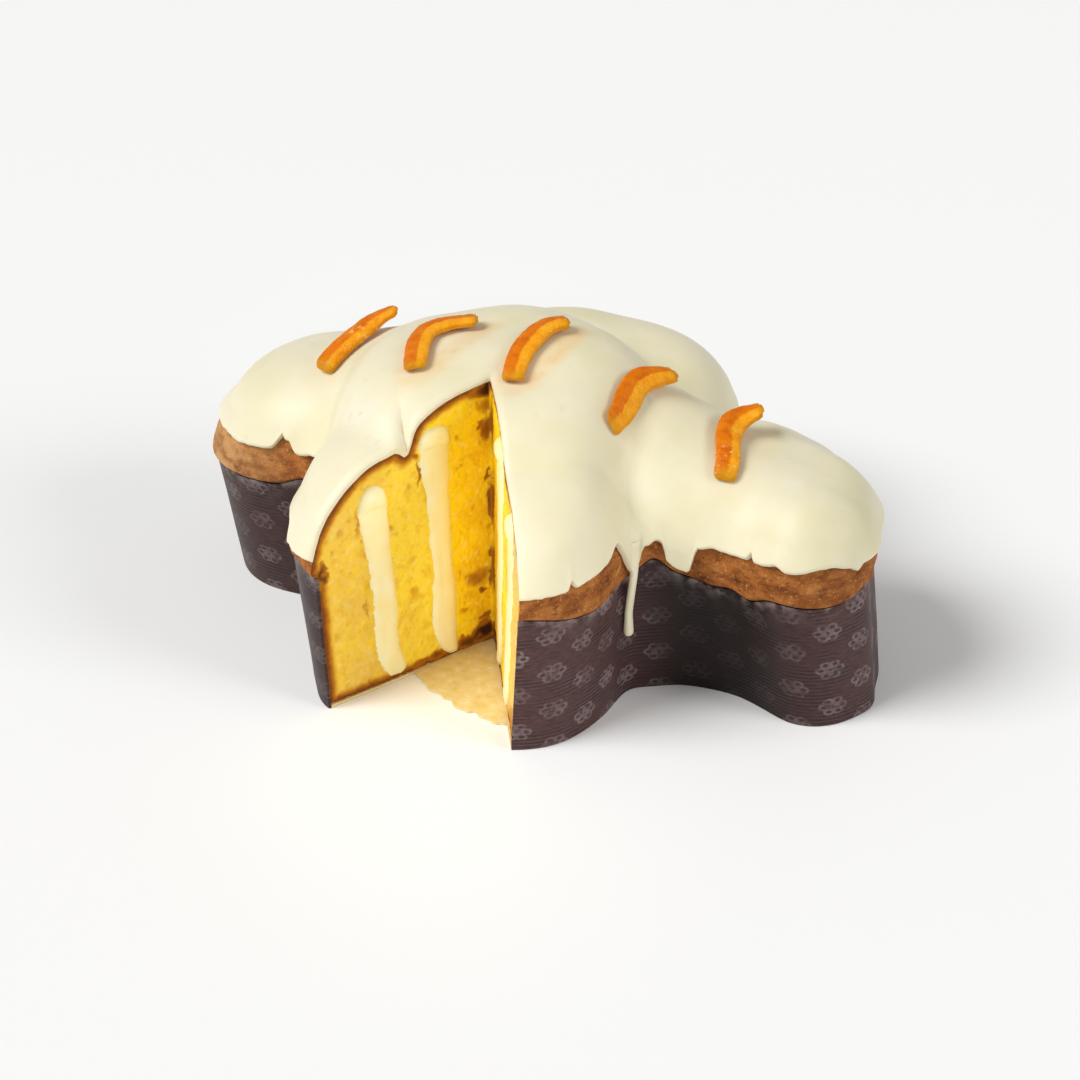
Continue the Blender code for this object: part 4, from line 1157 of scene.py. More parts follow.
def build_drip(plan):
    """Runnel that comes out of the icing, follows the crust and the paper down, and swells at its tip."""
    line = drip_line(plan)
    x, y = line["x"], line["y"]
    normal_x, normal_y = line["normal_x"], line["normal_y"]
    side_x, side_y = -normal_y, normal_x
    profile = dome_profiles(line, ICING_GAP)[0]
    profile = profile[:int(np.argmax(profile[:, 2] > DRIP_TOP)) + 1]
    rim = profile[0, 2]
    turns = np.arange(DRIP_SIDES) * 2 * math.pi / DRIP_SIDES
    rings = []
    for z in np.linspace(DRIP_TIP, DRIP_TOP, DRIP_ROWS):
        below = 1.0 - min((z - DRIP_TIP) / DRIP_TIP_LENGTH, 1.0)
        tip = max(math.sqrt(1.0 - below ** 2), DRIP_TIP_LEAST)
        bulb = DRIP_BULB * math.exp(-((z - DRIP_TIP - DRIP_TIP_LENGTH) / DRIP_BULB_REACH) ** 2)
        sunk = ease_in((z - DRIP_SINK[0]) / (DRIP_SINK[1] - DRIP_SINK[0]))
        wide = DRIP_RADIUS * tip * (1.0 + bulb) * (1.0 + (SUNK_WIDTH - 1.0) * sunk)
        deep = DRIP_RADIUS * tip * (DRIP_DEEP + bulb) * (1.0 - sunk) + SUNK_DEPTH * ICING * sunk
        if z > rim:
            base_x = np.interp(z, profile[:, 2], profile[:, 0])
            base_y = np.interp(z, profile[:, 2], profile[:, 1])
        else:
            over_paper = min(max((CASE_HEIGHT - z) / DRIP_SLANT, 0.0), 1.0)
            behind = CRUST_BULGE + (CASE_FLARE - CRUST_BULGE) * over_paper + ICING_GAP
            base_x = x + normal_x * behind
            base_y = y + normal_y * behind
        out = DRIP_OUT * DRIP_RADIUS * (1.0 - sunk) + SUNK_OUT * ICING * sunk
        sway = DRIP_SWAY["reach"] * math.sin(DRIP_SWAY["turns"] * z + DRIP_SWAY["start"])
        across = wide * np.cos(turns) + sway
        away = out + deep * np.sin(turns)
        lean = DRIP_SHIFT - DRIP_LEAN * (DRIP_TOP - z) / (DRIP_TOP - DRIP_TIP)
        ring = np.column_stack([base_x + normal_x * away + side_x * across + lean,
                                base_y + normal_y * away + side_y * across, np.full(DRIP_SIDES, z)])
        rings.append(settle(ring))
    return capped_tube("drip_part", rings)


def soften_root(icing, plan):
    """Melt the drip into the icing where they join."""
    line = drip_line(plan)
    centre = Vector(settle(np.column_stack([line["x"] + DRIP_SHIFT, line["y"], [ROOT_MIDDLE]]))[0])
    tidy = bmesh.new()
    tidy.from_mesh(icing.data)
    near = [v for v in tidy.verts if (v.co - centre).length < ROOT_REACH]
    for _ in range(ROOT_ROUNDS):
        bmesh.ops.smooth_vert(tidy, verts=near, factor=0.5, use_axis_x=True, use_axis_y=True, use_axis_z=True)
    tidy.to_mesh(icing.data)
    tidy.free()


# Cream: bands that open in the cut, each drawn by its two edges at a number of heights

CREAM_EDGES = {
    "outer": [
        (0.0020, 0.0436, 0.0500), (0.0050, 0.0412, 0.0516), (0.009, 0.0424, 0.0540), (0.016, 0.0444, 0.0561),
        (0.023, 0.0451, 0.0567), (0.033, 0.0443, 0.0566), (0.046, 0.0455, 0.0566), (0.057, 0.0466, 0.0572),
        (0.067, 0.0472, 0.0589), (0.0755, 0.0478, 0.0606), (0.080, 0.0474, 0.0614), (0.085, 0.0479, 0.0604),
        (0.088, 0.0492, 0.0588), (0.0903, 0.0518, 0.0558),
    ],
    "inner": [
        (0.0018, 0.0172, 0.0206), (0.005, 0.0168, 0.0242), (0.011, 0.0171, 0.0274), (0.019, 0.0169, 0.0290),
        (0.030, 0.0169, 0.0284), (0.046, 0.0183, 0.0286), (0.058, 0.0186, 0.0297), (0.070, 0.0189, 0.0305),
        (0.082, 0.0190, 0.0312), (0.090, 0.0190, 0.0325), (0.096, 0.0189, 0.0334), (0.1005, 0.0184, 0.0334),
        (0.104, 0.0194, 0.0324), (0.1068, 0.0222, 0.0294),
    ],
}
CREAM_KNOB = {"outer": 0.0785, "inner": 0.0965}
CREAM_ROWS = 72
CREAM_ACROSS = 15
CREAM_DEPTH = {"outer": 0.016, "inner": 0.028}
CREAM_PROUD = 0.0005
CREAM_KNOB_PROUD = 0.0011
CREAM_CREASE = 0.0008
CREAM_CREASE_WIDTH = 0.0012
CREAM_KNOB_EASE = 0.003
CREAM_KNOB_BOW = 0.0016
# Roundness of the ends, and depth in the crumb of the front's edges and of the back
CREAM_END = 0.003
CREAM_BEHIND = 0.0009
CREAM_BACK = 0.002
CREAM_DRAWS = {"left_outer": 1, "left_inner": 2, "right_outer": 3, "right_inner": 4}
CREAM_EDGE_WAVES = {"near": [(0.0003, 0.007, 200, 3)], "far": [(0.0003, 0.007, 210, 3)]}
CREAM_SMEAR = [(0.0003, 0.008, 220, 3)]
SMEAR_STRETCH = (2.0, 0.7)


def build_cream(name):
    """Band of cream: pillowed front in the cut with a rounded knob on top, round back inside the crumb."""
    side, place = name.split("_")
    edges = np.array(CREAM_EDGES[place])
    heights = np.linspace(edges[0, 0], edges[-1, 0], CREAM_ROWS)
    draw = CREAM_DRAWS[name]
    line = np.column_stack([heights, 0 * heights])
    near = np.interp(heights, edges[:, 0], edges[:, 1]) + random_waves(line, CREAM_EDGE_WAVES["near"], draw)
    far = np.interp(heights, edges[:, 0], edges[:, 2]) + random_waves(line, CREAM_EDGE_WAVES["far"], draw)
    across = np.linspace(-1.0, 1.0, CREAM_ACROSS)
    rows = []
    for z, low, high in zip(heights, near, far):
        out = low + (high - low) * (across + 1.0) / 2.0
        end = min((z - heights[0]) / CREAM_END, (heights[-1] - z) / CREAM_END, 1.0)
        pillow = (1.0 - across ** 4) * math.sqrt(max(end, 0.0))
        bend = z - CREAM_KNOB[place] - CREAM_KNOB_BOW * (1.0 - across ** 2)
        crease = np.exp(-(bend / CREAM_CREASE_WIDTH) ** 2)
        proud = CREAM_PROUD + CREAM_KNOB_PROUD * ease_in(bend / CREAM_KNOB_EASE) - CREAM_CREASE * crease
        places = np.column_stack([out * SMEAR_STRETCH[0], np.full(CREAM_ACROSS, z) * SMEAR_STRETCH[1]])
        smear = random_waves(places, CREAM_SMEAR, draw)
        front = cut_point(side, out, CREAM_BEHIND - (proud + CREAM_BEHIND) * pillow + smear * pillow, z)
        back_turn = np.linspace(0.0, math.pi, CREAM_ACROSS)[1:-1]
        half = (high - low) / 2.0
        back_out = (low + high) / 2.0 + half * np.cos(back_turn)
        back = cut_point(side, back_out, CREAM_BACK + CREAM_DEPTH[place] * np.sqrt(np.sin(back_turn)), z)
        rows.append(np.concatenate([front, back]))
    cream = capped_tube("cream_band_" + name, rows)
    golden = np.zeros(len(rows[0]))
    if place == "inner":
        golden[:CREAM_ACROSS] = ((1.0 - across) / 2.0) ** 1.5
    put_value(cream, "golden", np.tile(golden, len(rows)))
    smooth(cream, 50)
    return cream


# Paper case: ribbed wall and torn floor

WALL_ROWS = 24
WALL_HALF_POINTS = 260
RIM_WAVES = [(0.0002, 0.006, 301, 3)]
WALL_WAVES = [(0.00025, 0.016, 305, 2)]
WALL_STRETCH = (1.0, 1.0, 0.4)
RIM_WEAR_REACH = 0.0022
# Where painted shade darkens the paper: place round the loaf in degrees, half width, strength
PAINTED_CREASE_SHADE = [(-165.0, 12.0, 0.42), (-149.0, 7.0, 0.60), (-118.0, 13.0, 0.62), (-37.0, 15.0, 1.0),
            (50.0, 9.0, 0.80), (135.0, 9.0, 0.80)]
WRAP_START = math.radians(-97.0)


def build_wall():
    """Paper wall with slow ripples, cut through with the slice."""
    plan = loaf_plan(WALL_HALF_POINTS)
    ring_place = np.column_stack([plan["x"], plan["y"]])
    rim = CASE_HEIGHT - PAPER_DIP + paper_lift(plan["place"]) + random_waves(ring_place, RIM_WAVES)
    rings = []
    for share in np.linspace(0.0, 1.0, WALL_ROWS + 1):
        z = rim * share
        place = np.column_stack([plan["x"], plan["y"], z])
        ripple_out = random_waves(place * np.array(WALL_STRETCH), WALL_WAVES)
        rings.append(flat_ring(plan, CASE_FLARE * share + ripple_out * math.sin(math.pi * share), z))
    for share in (1.0, 0.5, 0.0):
        rings.append(flat_ring(plan, CASE_FLARE * share - PAPER, rim * share))
    wall = make_object("ribbed_paper_wall", settle(np.vstack(rings)),
                       ring_quads(2 * WALL_HALF_POINTS, len(rings), True))
    outward(wall)
    boolean(wall, wedge_cutter("wall_cutter", WALL_CUT_STEP, smooth_cut), "DIFFERENCE")
    upright = unsettle(vertex_array(wall))
    along, nearest = wrap_places(plan, upright)
    put_value(wall, "along", along)
    put_value(wall, "up", upright[:, 2])
    degrees = np.degrees(plan["place"][nearest])
    # Painted shade on the paper, strongest at the waist
    painted_crease_shade = sum(strength * np.exp(-((degrees - at) / half_width) ** 4)
                   for at, half_width, strength in PAINTED_CREASE_SHADE)
    put_value(wall, "painted_crease_shade", np.clip(painted_crease_shade, 0.0, 1.0))
    put_value(wall, "worn", np.exp(-(rim[nearest] - upright[:, 2]) / RIM_WEAR_REACH))
    smooth(wall, 50)
    return wall


def wrap_places(plan, points):
    """How far each point is round the case from a start within the cut, and its nearest outline point."""
    outline = np.column_stack([plan["x"], plan["y"]])
    ahead = np.roll(outline, -1, axis=0)
    steps = np.hypot(*(ahead - outline).T)
    start = int(np.argmin(np.abs(plan["place"] - WRAP_START)))
    run = np.roll(np.concatenate([[0.0], np.cumsum(np.roll(steps, -start))[:-1]]), start)
    tangent = ahead - np.roll(outline, 1, axis=0)
    tangent /= np.hypot(*tangent.T)[:, None]
    tree = KDTree(len(outline))
    for i, (x, y) in enumerate(outline):
        tree.insert((x, y, 0.0), i)
    tree.balance()
    nearest = np.array([tree.find((x, y, 0.0))[1] for x, y in points[:, :2]])
    beside = ((points[:, :2] - outline[nearest]) * tangent[nearest]).sum(axis=1)
    return run[nearest] + beside, nearest


TEAR_START = 0.50
TEAR_END = 0.78
TEAR_SAG = 0.0050
TEAR_POINTS = 120
TEAR_ENDS = 0.6
TEAR_RIPPLES = [(0.0009, 19.0, 0.6), (0.0004, 47.0, 0.0)]
TEAR_WAVES = [(0.0009, 0.05, 333, 3)]
# The tear is cut between these heights, out past the case
TEAR_HEIGHTS = (-0.01, 0.02)
TEAR_REACH = 2.0


def beyond(corner, reach):
    """Point on the line from the cut's apex through a corner."""
    return (CUT_APEX[0] + reach * (corner[0] - CUT_APEX[0]), CUT_APEX[1] + reach * (corner[1] - CUT_APEX[1]))


def build_floor():
    """Paper floor of the case, torn where the slice was lifted out."""
    plan = loaf_plan(WALL_HALF_POINTS)
    floor = capped_tube("paper_floor", [settle(flat_ring(plan, -PAPER - GAP, z)) for z in (0.0, PAPER)])
    start = beyond(CUT_LEFT, TEAR_START)
    end = beyond(CUT_RIGHT, TEAR_END)
    share = np.linspace(0.0, 1.0, TEAR_POINTS)
    fade = np.sin(math.pi * share) ** TEAR_ENDS
    line = np.column_stack([share, 0 * share])
    ragged = ripple(share, TEAR_RIPPLES) + random_waves(line, TEAR_WAVES)
    x = start[0] + (end[0] - start[0]) * share
    y = start[1] + (end[1] - start[1]) * share + (ragged - TEAR_SAG) * fade
    corners = [*zip(x, y), beyond(CUT_RIGHT, TEAR_REACH), beyond(CUT_LEFT, TEAR_REACH)]
    rings = [[(px + MIDDLE_SHIFT[0], py + MIDDLE_SHIFT[1], z) for px, py in corners] for z in TEAR_HEIGHTS]
    cutter = capped_tube("floor_cutter", rings)
    boolean(floor, cutter, "DIFFERENCE")
    smooth(floor, 30)
    return floor


# Candied orange peel: points that each strip passes over, rise of its last end, width, thickness, how
# strongly its right side is painted lighter as if lit, where it is specked with sugar, its slope from side to
# side, the painted shadow beside it, and by what share its first end is narrower

PEELS = [
    {"over": [(-0.0880, -0.0145), (-0.0852, -0.0055), (-0.0815, 0.0038), (-0.0775, 0.0125),
              (-0.0710, 0.0200)], "lift": 0.0045, "width": 0.0105, "thick": 0.0045,
     "light": 0.6, "specks": (0.34, 0.60), "roll": 0.22, "peel_shadow_share": 0.3},
    {"over": [(-0.0344, -0.0405), (-0.0378, -0.0312), (-0.0405, -0.0224), (-0.0405, -0.0145),
              (-0.0370, -0.0085), (-0.0315, -0.0040), (-0.0250, -0.0010)],
     "lift": 0.0010, "width": 0.0100, "thick": 0.0040, "light": 1.0, "specks": (0.0, 0.0), "roll": 0.0,
     "peel_shadow_share": 1.0},
    {"over": [(0.0038, -0.0353), (0.0020, -0.0275), (0.0012, -0.0203), (0.0019, -0.0129), (0.0032, -0.0055),
              (0.0056, 0.0007), (0.0105, 0.0055)],
     "lift": 0.0010, "width": 0.0095, "thick": 0.0040, "light": 1.0, "specks": (0.0, 0.0), "roll": 0.0,
     "peel_shadow_share": 1.0},
    {"over": [(0.0420, -0.0310), (0.0430, -0.0240), (0.0435, -0.0165), (0.0440, -0.0085), (0.0465, -0.0020),
              (0.0535, 0.0100)],
     "lift": 0.0040, "width": 0.0085, "thick": 0.0042, "light": 0.8, "specks": (0.0, 0.0), "roll": 0.0,
     "peel_shadow_share": 0.2, "narrow_start": 0.42},
    {"over": [(0.0852, -0.0244), (0.0845, -0.0185), (0.0826, -0.0115), (0.0803, -0.0045), (0.0803, 0.0025),
              (0.0835, 0.0078), (0.0885, 0.0115)],
     "lift": 0.0080, "width": 0.0100, "thick": 0.0042, "light": 0.7, "specks": (0.04, 0.34), "roll": 0.0,
     "peel_shadow_share": 0.2},
]
PEEL_SEAT = 0.0004
PEEL_STATIONS = 80
SHADOW_STATIONS = 30
SHADOW_REACH = 0.0032
SHADOW_SHIFT = (0.0045, 0.0015)
SHADOW_CORE = 0.0015
UNDER_STRIP = 0.55
PEEL_SIDES = 44
PEEL_SQUARE = 0.50
PEEL_BOW = 0.16
PEEL_FLATNESS = 0.80
WORN_TIP = 0.0025
NARROW_SHARE = 0.45
# Width at the ends as a share, how far a roll to one side lifts the strip, and how the first rings close
END_WIDTH = 0.86
ROLL_LIFT = 0.3
END_RINGS = [0.50, 0.78, 0.91, 0.97, 1.0]
PEEL_UNEVEN = [(0.07, 0.16, 400, 3)]
PEEL_KNOBS = [(0.00030, 0.0042, 410, 3), (0.00010, 0.0012, 420, 1)]
# Step along the strip by which its direction is found
AHEAD = 0.01
# Where the painted light on the right side starts across the strip, and how fast the sugar's specks set in
# along it
LIGHT_FROM = 0.10
LIGHT_FADE = 0.45
SPECK_FADE = 0.08


def curve_through(points, share):
    """Point at a share of the way along a smooth curve through the points."""
    spans = len(points) - 1
    span = min(int(share * spans), spans - 1)
    t = share * spans - span
    p1 = np.array(points[span])
    p2 = np.array(points[span + 1])
    p0 = np.array(points[span - 1]) if span > 0 else 2 * p1 - p2
    p3 = np.array(points[span + 2]) if span + 2 < len(points) else 2 * p2 - p1
    return 0.5 * (2 * p1 + (p2 - p0) * t + (2 * p0 - 5 * p1 + 4 * p2 - p3) * t ** 2
                  + (3 * p1 - p0 - 3 * p2 + p3) * t ** 3)


def curve_points(points, count):
    return np.array([curve_through(points, share) for share in np.linspace(0.0, 1.0, count)])


def top_of_icing(x, y):
    """Height of the icing over a point of the finished, leaning loaf, before it is centred."""
    shift = lean_share(x, RIM + HEAD_TUCK_HEIGHT)
    straight_x = x / (1.0 + shift * np.sign(x))
    return dome_height(np.array([straight_x]), np.array([y]), ICING_GAP + ICING)[0]


def painted_peel_shadows(points):
    """Painted shadow of each strip of peel, tinted by light reflected from the peel: 1 in a band set off
    along its inner side, and less right beside the strip.
    """
    upright = points[:, :2] - MIDDLE_SHIFT
    strongest = np.zeros(len(points))
    for strip in PEELS:
        line = curve_points(strip["over"], SHADOW_STATIONS)
        away = np.full(len(points), 1.0)
        for here in line:
            away = np.minimum(away, np.hypot(*(upright - here).T))
        past = np.maximum(away - strip["width"] / 2, 0.0)
        strongest = np.maximum(strongest, strip["peel_shadow_share"] * UNDER_STRIP * np.exp(-(past / SHADOW_REACH) ** 2))
        start = line[0] + SHADOW_SHIFT
        smear = capsule(upright[:, 0], upright[:, 1], start, line[-1] + SHADOW_SHIFT, SHADOW_CORE, SHADOW_CORE)
        smeared = strip["peel_shadow_share"] * np.exp(-(np.maximum(smear, 0.0) / SHADOW_REACH) ** 2)
        strongest = np.maximum(strongest, smeared)
    return strongest


def build_peel(number, strip):
    """Strip of peel laid over the icing: bowed across, knobbly, with worn ends."""
    turns = np.arange(PEEL_SIDES) * 2 * math.pi / PEEL_SIDES
    wide = np.sign(np.cos(turns)) * np.abs(np.cos(turns)) ** PEEL_SQUARE
    high = np.sign(np.sin(turns)) * np.abs(np.sin(turns)) ** PEEL_SQUARE
    over = strip["over"]
    line = curve_points(over, PEEL_STATIONS)
    run = np.concatenate([[0.0], np.cumsum(np.hypot(*np.diff(line, axis=0).T))])
    rings = []
    values = {"rind": [], "lighter": [], "specked": []}
    for i in range(PEEL_STATIONS):
        share = i / (PEEL_STATIONS - 1)
        here = curve_through(over, share)
        ahead = curve_through(over, min(share + AHEAD, 1.0)) - curve_through(over, max(share - AHEAD, 0.0))
        ahead = ahead / np.hypot(*ahead)
        across = np.array([-ahead[1], ahead[0]])
        width = strip["width"] * (END_WIDTH + (1.0 - END_WIDTH) * math.sin(math.pi * share) ** 0.5)
        width *= 1.0 + random_waves(np.array([[share, 0.0]]), PEEL_UNEVEN, number)[0]
        width *= 1.0 - strip.get("narrow_start", 0.0) * (1.0 - ease_in(share / NARROW_SHARE))
        edges = [top_of_icing(*(here + across * side * width)) for side in (-0.5, 0.0, 0.5)]
        tilt = (edges[2] - edges[0]) / width + strip["roll"]
        seat = max(edges[1], 0.5 * (edges[0] + edges[2])) + PEEL_SEAT + strip["lift"] * share ** 3
        seat += ROLL_LIFT * strip["roll"] * width
        end = min(share, 1.0 - share) * (PEEL_STATIONS - 1)
        close = END_RINGS[min(int(end), len(END_RINGS) - 1)]
        side = 0.5 * wide * close
        up = 0.5 + 0.5 * high * close
        bow = PEEL_BOW * (1.0 - (2 * side) ** 2)
        place_x = here[0] + across[0] * side * width
        place_y = here[1] + across[1] * side * width
        z = seat + tilt * side * width + (up * PEEL_FLATNESS + bow) * strip["thick"]
        rings.append(np.column_stack([place_x, place_y, z]))
        values["rind"].append(np.clip(high, 0.0, 1.0) ** 3 * close)
        # Painted light: the right side of each strip is drawn lighter
        values["lighter"].append(strip["light"] * ease_in((LIGHT_FROM - wide) / LIGHT_FADE))
        first, last = strip["specks"]
        specked = ease_in((share - first) / SPECK_FADE) * ease_in((last - share) / SPECK_FADE)
        values["specked"].append(np.full(PEEL_SIDES, specked))
    rows = np.stack(rings)
    normals = ring_normals(rows)
    knobs = random_waves(rows.reshape(-1, 3), PEEL_KNOBS, number).reshape(rows.shape[:2])
    if np.mean(np.sum(normals * (rows - rows.mean(axis=1, keepdims=True)), axis=2)) < 0:
        normals = -normals
    rows = rows + normals * knobs[:, :, None]
    rows[:, :, :2] += MIDDLE_SHIFT
    peel = capped_tube("candied_strip_" + str(number), rows)
    for name, numbers in values.items():
        put_value(peel, name, np.concatenate(numbers))
    from_end = np.minimum(run, run[-1] - run)
    put_value(peel, "tip", np.repeat(np.exp(-(from_end / WORN_TIP) ** 2), PEEL_SIDES))
    smooth(peel, 60)
    return peel


# Materials: colours by place on a ramp, and patches of noise that lay another colour over: scale, detail,
# roughness, from, to, strength, colour

CRUST_COLOURS = [(0.26, "#5E2F12"), (0.42, "#8A4E1E"), (0.58, "#A4642C"), (0.76, "#C08549")]
WRINKLE_TINTS = [(260.0, 3.0, 0.6, 0.44, 0.30, 0.70, "#532810")]
CRUST_TINTS = [(900.0, 2.0, 0.5, 0.58, 0.76, 0.60, "#D6A468")]
CRUMB_COLOURS = [(0.0, "#E2C27C"), (0.22, "#EEC648"), (0.46, "#FADC42"), (0.72, "#FED60C"), (1.0, "#EDBC06")]
CRUMB_TINTS = [(170.0, 2.0, 0.5, 0.54, 0.70, 0.40, "#FFD820"), (170.0, 2.0, 0.5, 0.46, 0.30, 0.38, "#DDA20A"),
               (330.0, 3.0, 0.6, 0.52, 0.72, 0.34, "#FBE48E"), (330.0, 3.0, 0.6, 0.46, 0.26, 0.36, "#E0A008")]
# Crumb under the crust, by depth: the whole ramp is a centimetre
UNDER_COLOURS = [(0.0, "#6E380F"), (0.11, "#87480F"), (0.22, "#B2700F"), (0.34, "#D0901A"), (0.46, "#E6AE2C")]
RAMPS_PER_METRE = 100.0
ICING_COLOURS = [(0.30, "#E2DAB4"), (0.55, "#E6DEBF"), (0.75, "#E9E3CB")]
ICING_TINTS = [(130.0, 1.0, 0.5, 0.70, 0.78, 0.35, "#CFC9B4")]
CREAM_COLOURS = [(0.30, "#FAEAAC"), (0.55, "#FBEFBA"), (0.75, "#FCF4CC")]
RIND_COLOURS = [(0.30, "#CA6202"), (0.52, "#DA7204"), (0.75, "#E2840A")]
LIT_SIDE_COLOURS = [(0.30, "#EA9410"), (0.52, "#F0A21A"), (0.75, "#F5B02C")]
PEEL_TINTS = [(620.0, 2.0, 0.5, 0.68, 0.76, 0.30, "#FADFA8")]
WALL_COLOURS = [(0.3, "#422927"), (0.7, "#543A37")]
FLOOR_COLOURS = [(0.3, "#DCC074"), (0.5, "#E3CC8A"), (0.72, "#ECDAAA")]


def bread_material():
    """Browned crust outside, and on the cut golden crumb that darkens toward the crust."""
    made = Nodes("crumb and crust")
    place = made.place()
    depth = made.value("depth")
    mark = made.value("mark")
    blotches = made.noise(made.scaled(place, (1.0, 1.0, 1.7)), 120.0, 4.0, 0.58)
    crust = made.ramp(blotches, CRUST_COLOURS)
    crust = made.tint(crust, made.scaled(place, (1.0, 1.0, 2.6)), WRINKLE_TINTS)
    crust = made.tint(crust, place, CRUST_TINTS)
    pale = made.times(made.value("pale"), 0.72)
    crust = made.mix(made.times(pale, made.steps(blotches, 0.20, 0.66)), crust, "#C99C66")
    crumb = made.tint(made.ramp(made.value("tone"), CRUMB_COLOURS), place, CRUMB_TINTS)
    # Painted shade: the deeper places of the crumb's relief are drawn darker
    crumb = made.mix(made.times(made.steps(made.value("pore"), 0.0008, 0.0020), 0.80), crumb, "#C08208")
    wander = made.math("MULTIPLY_ADD", made.noise(place, 260.0, 2.0), 0.0016, -0.0008)
    under = made.math("ADD", depth, wander)
    rind = made.ramp(made.times(under, RAMPS_PER_METRE), UNDER_COLOURS)
    crumb = made.mix(made.steps(under, 0.0022, 0.0052), rind, crumb)
    # Dark marks on the cut: browning, and painted shade in the crevices beside the cream
    crumb = made.mix(made.steps(mark, 0.12, 0.52), crumb, "#A9680C")
    crumb = made.mix(made.steps(mark, 0.52, 0.98), crumb, "#3F1D0C")
    colour = made.mix(made.steps(depth, 0.00002, 0.00030), crust, crumb)
    fine = made.noise(place, 1500.0, 3.0, 0.6)
    made.set(Base_Color=colour, Roughness=0.78, Specular_IOR_Level=0.22, Subsurface_Weight=0.10,
             Subsurface_Scale=0.003, Subsurface_Radius=(1.0, 0.55, 0.2), Normal=made.bump(fine, 0.00035, 0.6))
    return made.material


def icing_material():
    """Warm white icing, faintly patchy, with painted shadows of the peel strips, tinted peach by light
    reflected from the peel.
    """
    made = Nodes("poured white icing")
    place = made.place()
    drift = made.noise(place, 34.0, 3.0, 0.5)
    colour = made.ramp(drift, ICING_COLOURS)
    patchy = made.steps(made.noise(place, 150.0, 2.0), 0.40, 0.66)
    # Painted shadow of the peel strips, tinted peach by light reflected from the peel
    peel_shadow_share = made.times(made.value("peel_shadow_share"), made.math("MULTIPLY_ADD", patchy, 0.38, 0.42))
    colour = made.mix(peel_shadow_share, colour, "#E8C48C")
    colour = made.tint(colour, place, ICING_TINTS)
    made.set(Base_Color=colour, Roughness=0.42, Specular_IOR_Level=0.30, Subsurface_Weight=0.20,
             Subsurface_Scale=0.003, Subsurface_Radius=(1.0, 0.85, 0.55),
             Normal=made.bump(made.noise(place, 160.0, 3.0), 0.0004, 0.2))
    return made.material


def cream_material():
    """Smooth cream, more golden where the inner bands meet the crumb."""
    made = Nodes("pale pastry cream")
    place = made.place()
    colour = made.ramp(made.noise(place, 120.0, 3.0, 0.5), CREAM_COLOURS)
    colour = made.mix(made.times(made.value("golden"), 0.58), colour, "#FADC62")
    made.set(Base_Color=colour, Roughness=0.45, Specular_IOR_Level=0.30, Subsurface_Weight=0.20,
             Subsurface_Scale=0.003, Subsurface_Radius=(1.0, 0.7, 0.35),
             Normal=made.bump(made.noise(place, 420.0, 3.0), 0.0002, 0.35))
    return made.material


def peel_material():
    """Candied peel: deep orange rind, painted lighter orange on the right side of each strip as if lit there,
    olive tips and specks of sugar.
    """
    made = Nodes("candied orange peel")
    place = made.place()
    drift = made.noise(place, 230.0, 3.0, 0.55)
    dark = made.ramp(drift, RIND_COLOURS)
    light = made.ramp(drift, LIT_SIDE_COLOURS)
    edge = made.math("MULTIPLY_ADD", made.noise(place, 380.0, 2.0), 0.7, -0.35)
    # Painted light on the right side of each strip
    colour = made.mix(made.steps(made.math("ADD", made.value("lighter"), edge), 0.25, 0.75), dark, light)
    side = made.steps(made.value("rind"), 0.30, 0.02)
    colour = made.mix(made.times(side, 0.45), colour, "#D2820C")
    colour = made.mix(made.times(made.value("tip"), 0.70), colour, "#C58A08")
    colour = made.tint(colour, place, PEEL_TINTS)
    dots = made.noise(place, 430.0, 2.0)
    specks = made.times(made.value("specked"), made.steps(dots, 0.56, 0.66))
    colour = made.mix(made.times(specks, 0.55), colour, "#F2C888")
    made.set(Base_Color=colour, Roughness=0.46, Specular_IOR_Level=0.12, Subsurface_Weight=0.12,
             Subsurface_Scale=0.002, Subsurface_Radius=(1.0, 0.4, 0.08), Coat_Weight=0.03,
             Coat_Roughness=0.30, Normal=made.bump(made.cells(place, 900.0), 0.0004, 0.5))
    return made.material


# Print of the paper: rosettes of small rings, every other column half a step higher
MOTIF_ACROSS = 0.0150
MOTIF_UP = 0.0165
MOTIF_SQUASH = 1.50
PETALS = 6
PETAL_OUT = 0.0039
PETAL_RADIUS = 0.0017
HEART_RADIUS = 0.0013
PRINT_LINE = 0.00060
PRINT_BLUR = 0.00035


def rosette(made, along, up):
    """1 on the printed lines, 0 between them."""
    column = made.math("FLOOR", made.math("DIVIDE", along, MOTIF_ACROSS))
    half_step = made.times(made.math("FLOORED_MODULO", column, 2.0), 0.5)
    across = made.math("FRACT", made.math("DIVIDE", along, MOTIF_ACROSS))
    over = made.math("FRACT", made.math("ADD", made.math("DIVIDE", up, MOTIF_UP), half_step))
    u = made.times(made.math("SUBTRACT", across, 0.5), MOTIF_ACROSS)
    v = made.times(made.math("SUBTRACT", over, 0.5), MOTIF_UP * MOTIF_SQUASH)
    far = made.length(u, v)
    turn = made.math("DIVIDE", made.math("ARCTAN2", v, u), 2.0 * math.pi / PETALS)
    fold = made.math("SUBTRACT", made.math("FRACT", made.math("ADD", turn, 0.5)), 0.5)
    fold = made.times(fold, 2.0 * math.pi / PETALS)
    petal_u = made.math("SUBTRACT", made.times(far, made.math("COSINE", fold)), PETAL_OUT)
    petal_v = made.times(far, made.math("SINE", fold))
    petal = made.math("ABSOLUTE", made.math("SUBTRACT", made.length(petal_u, petal_v), PETAL_RADIUS))
    heart = made.math("ABSOLUTE", made.math("SUBTRACT", far, HEART_RADIUS))
    away = made.math("MINIMUM", petal, heart)
    return made.steps(away, PRINT_LINE + PRINT_BLUR, PRINT_LINE - PRINT_BLUR)


RIB_PITCH = 0.0016


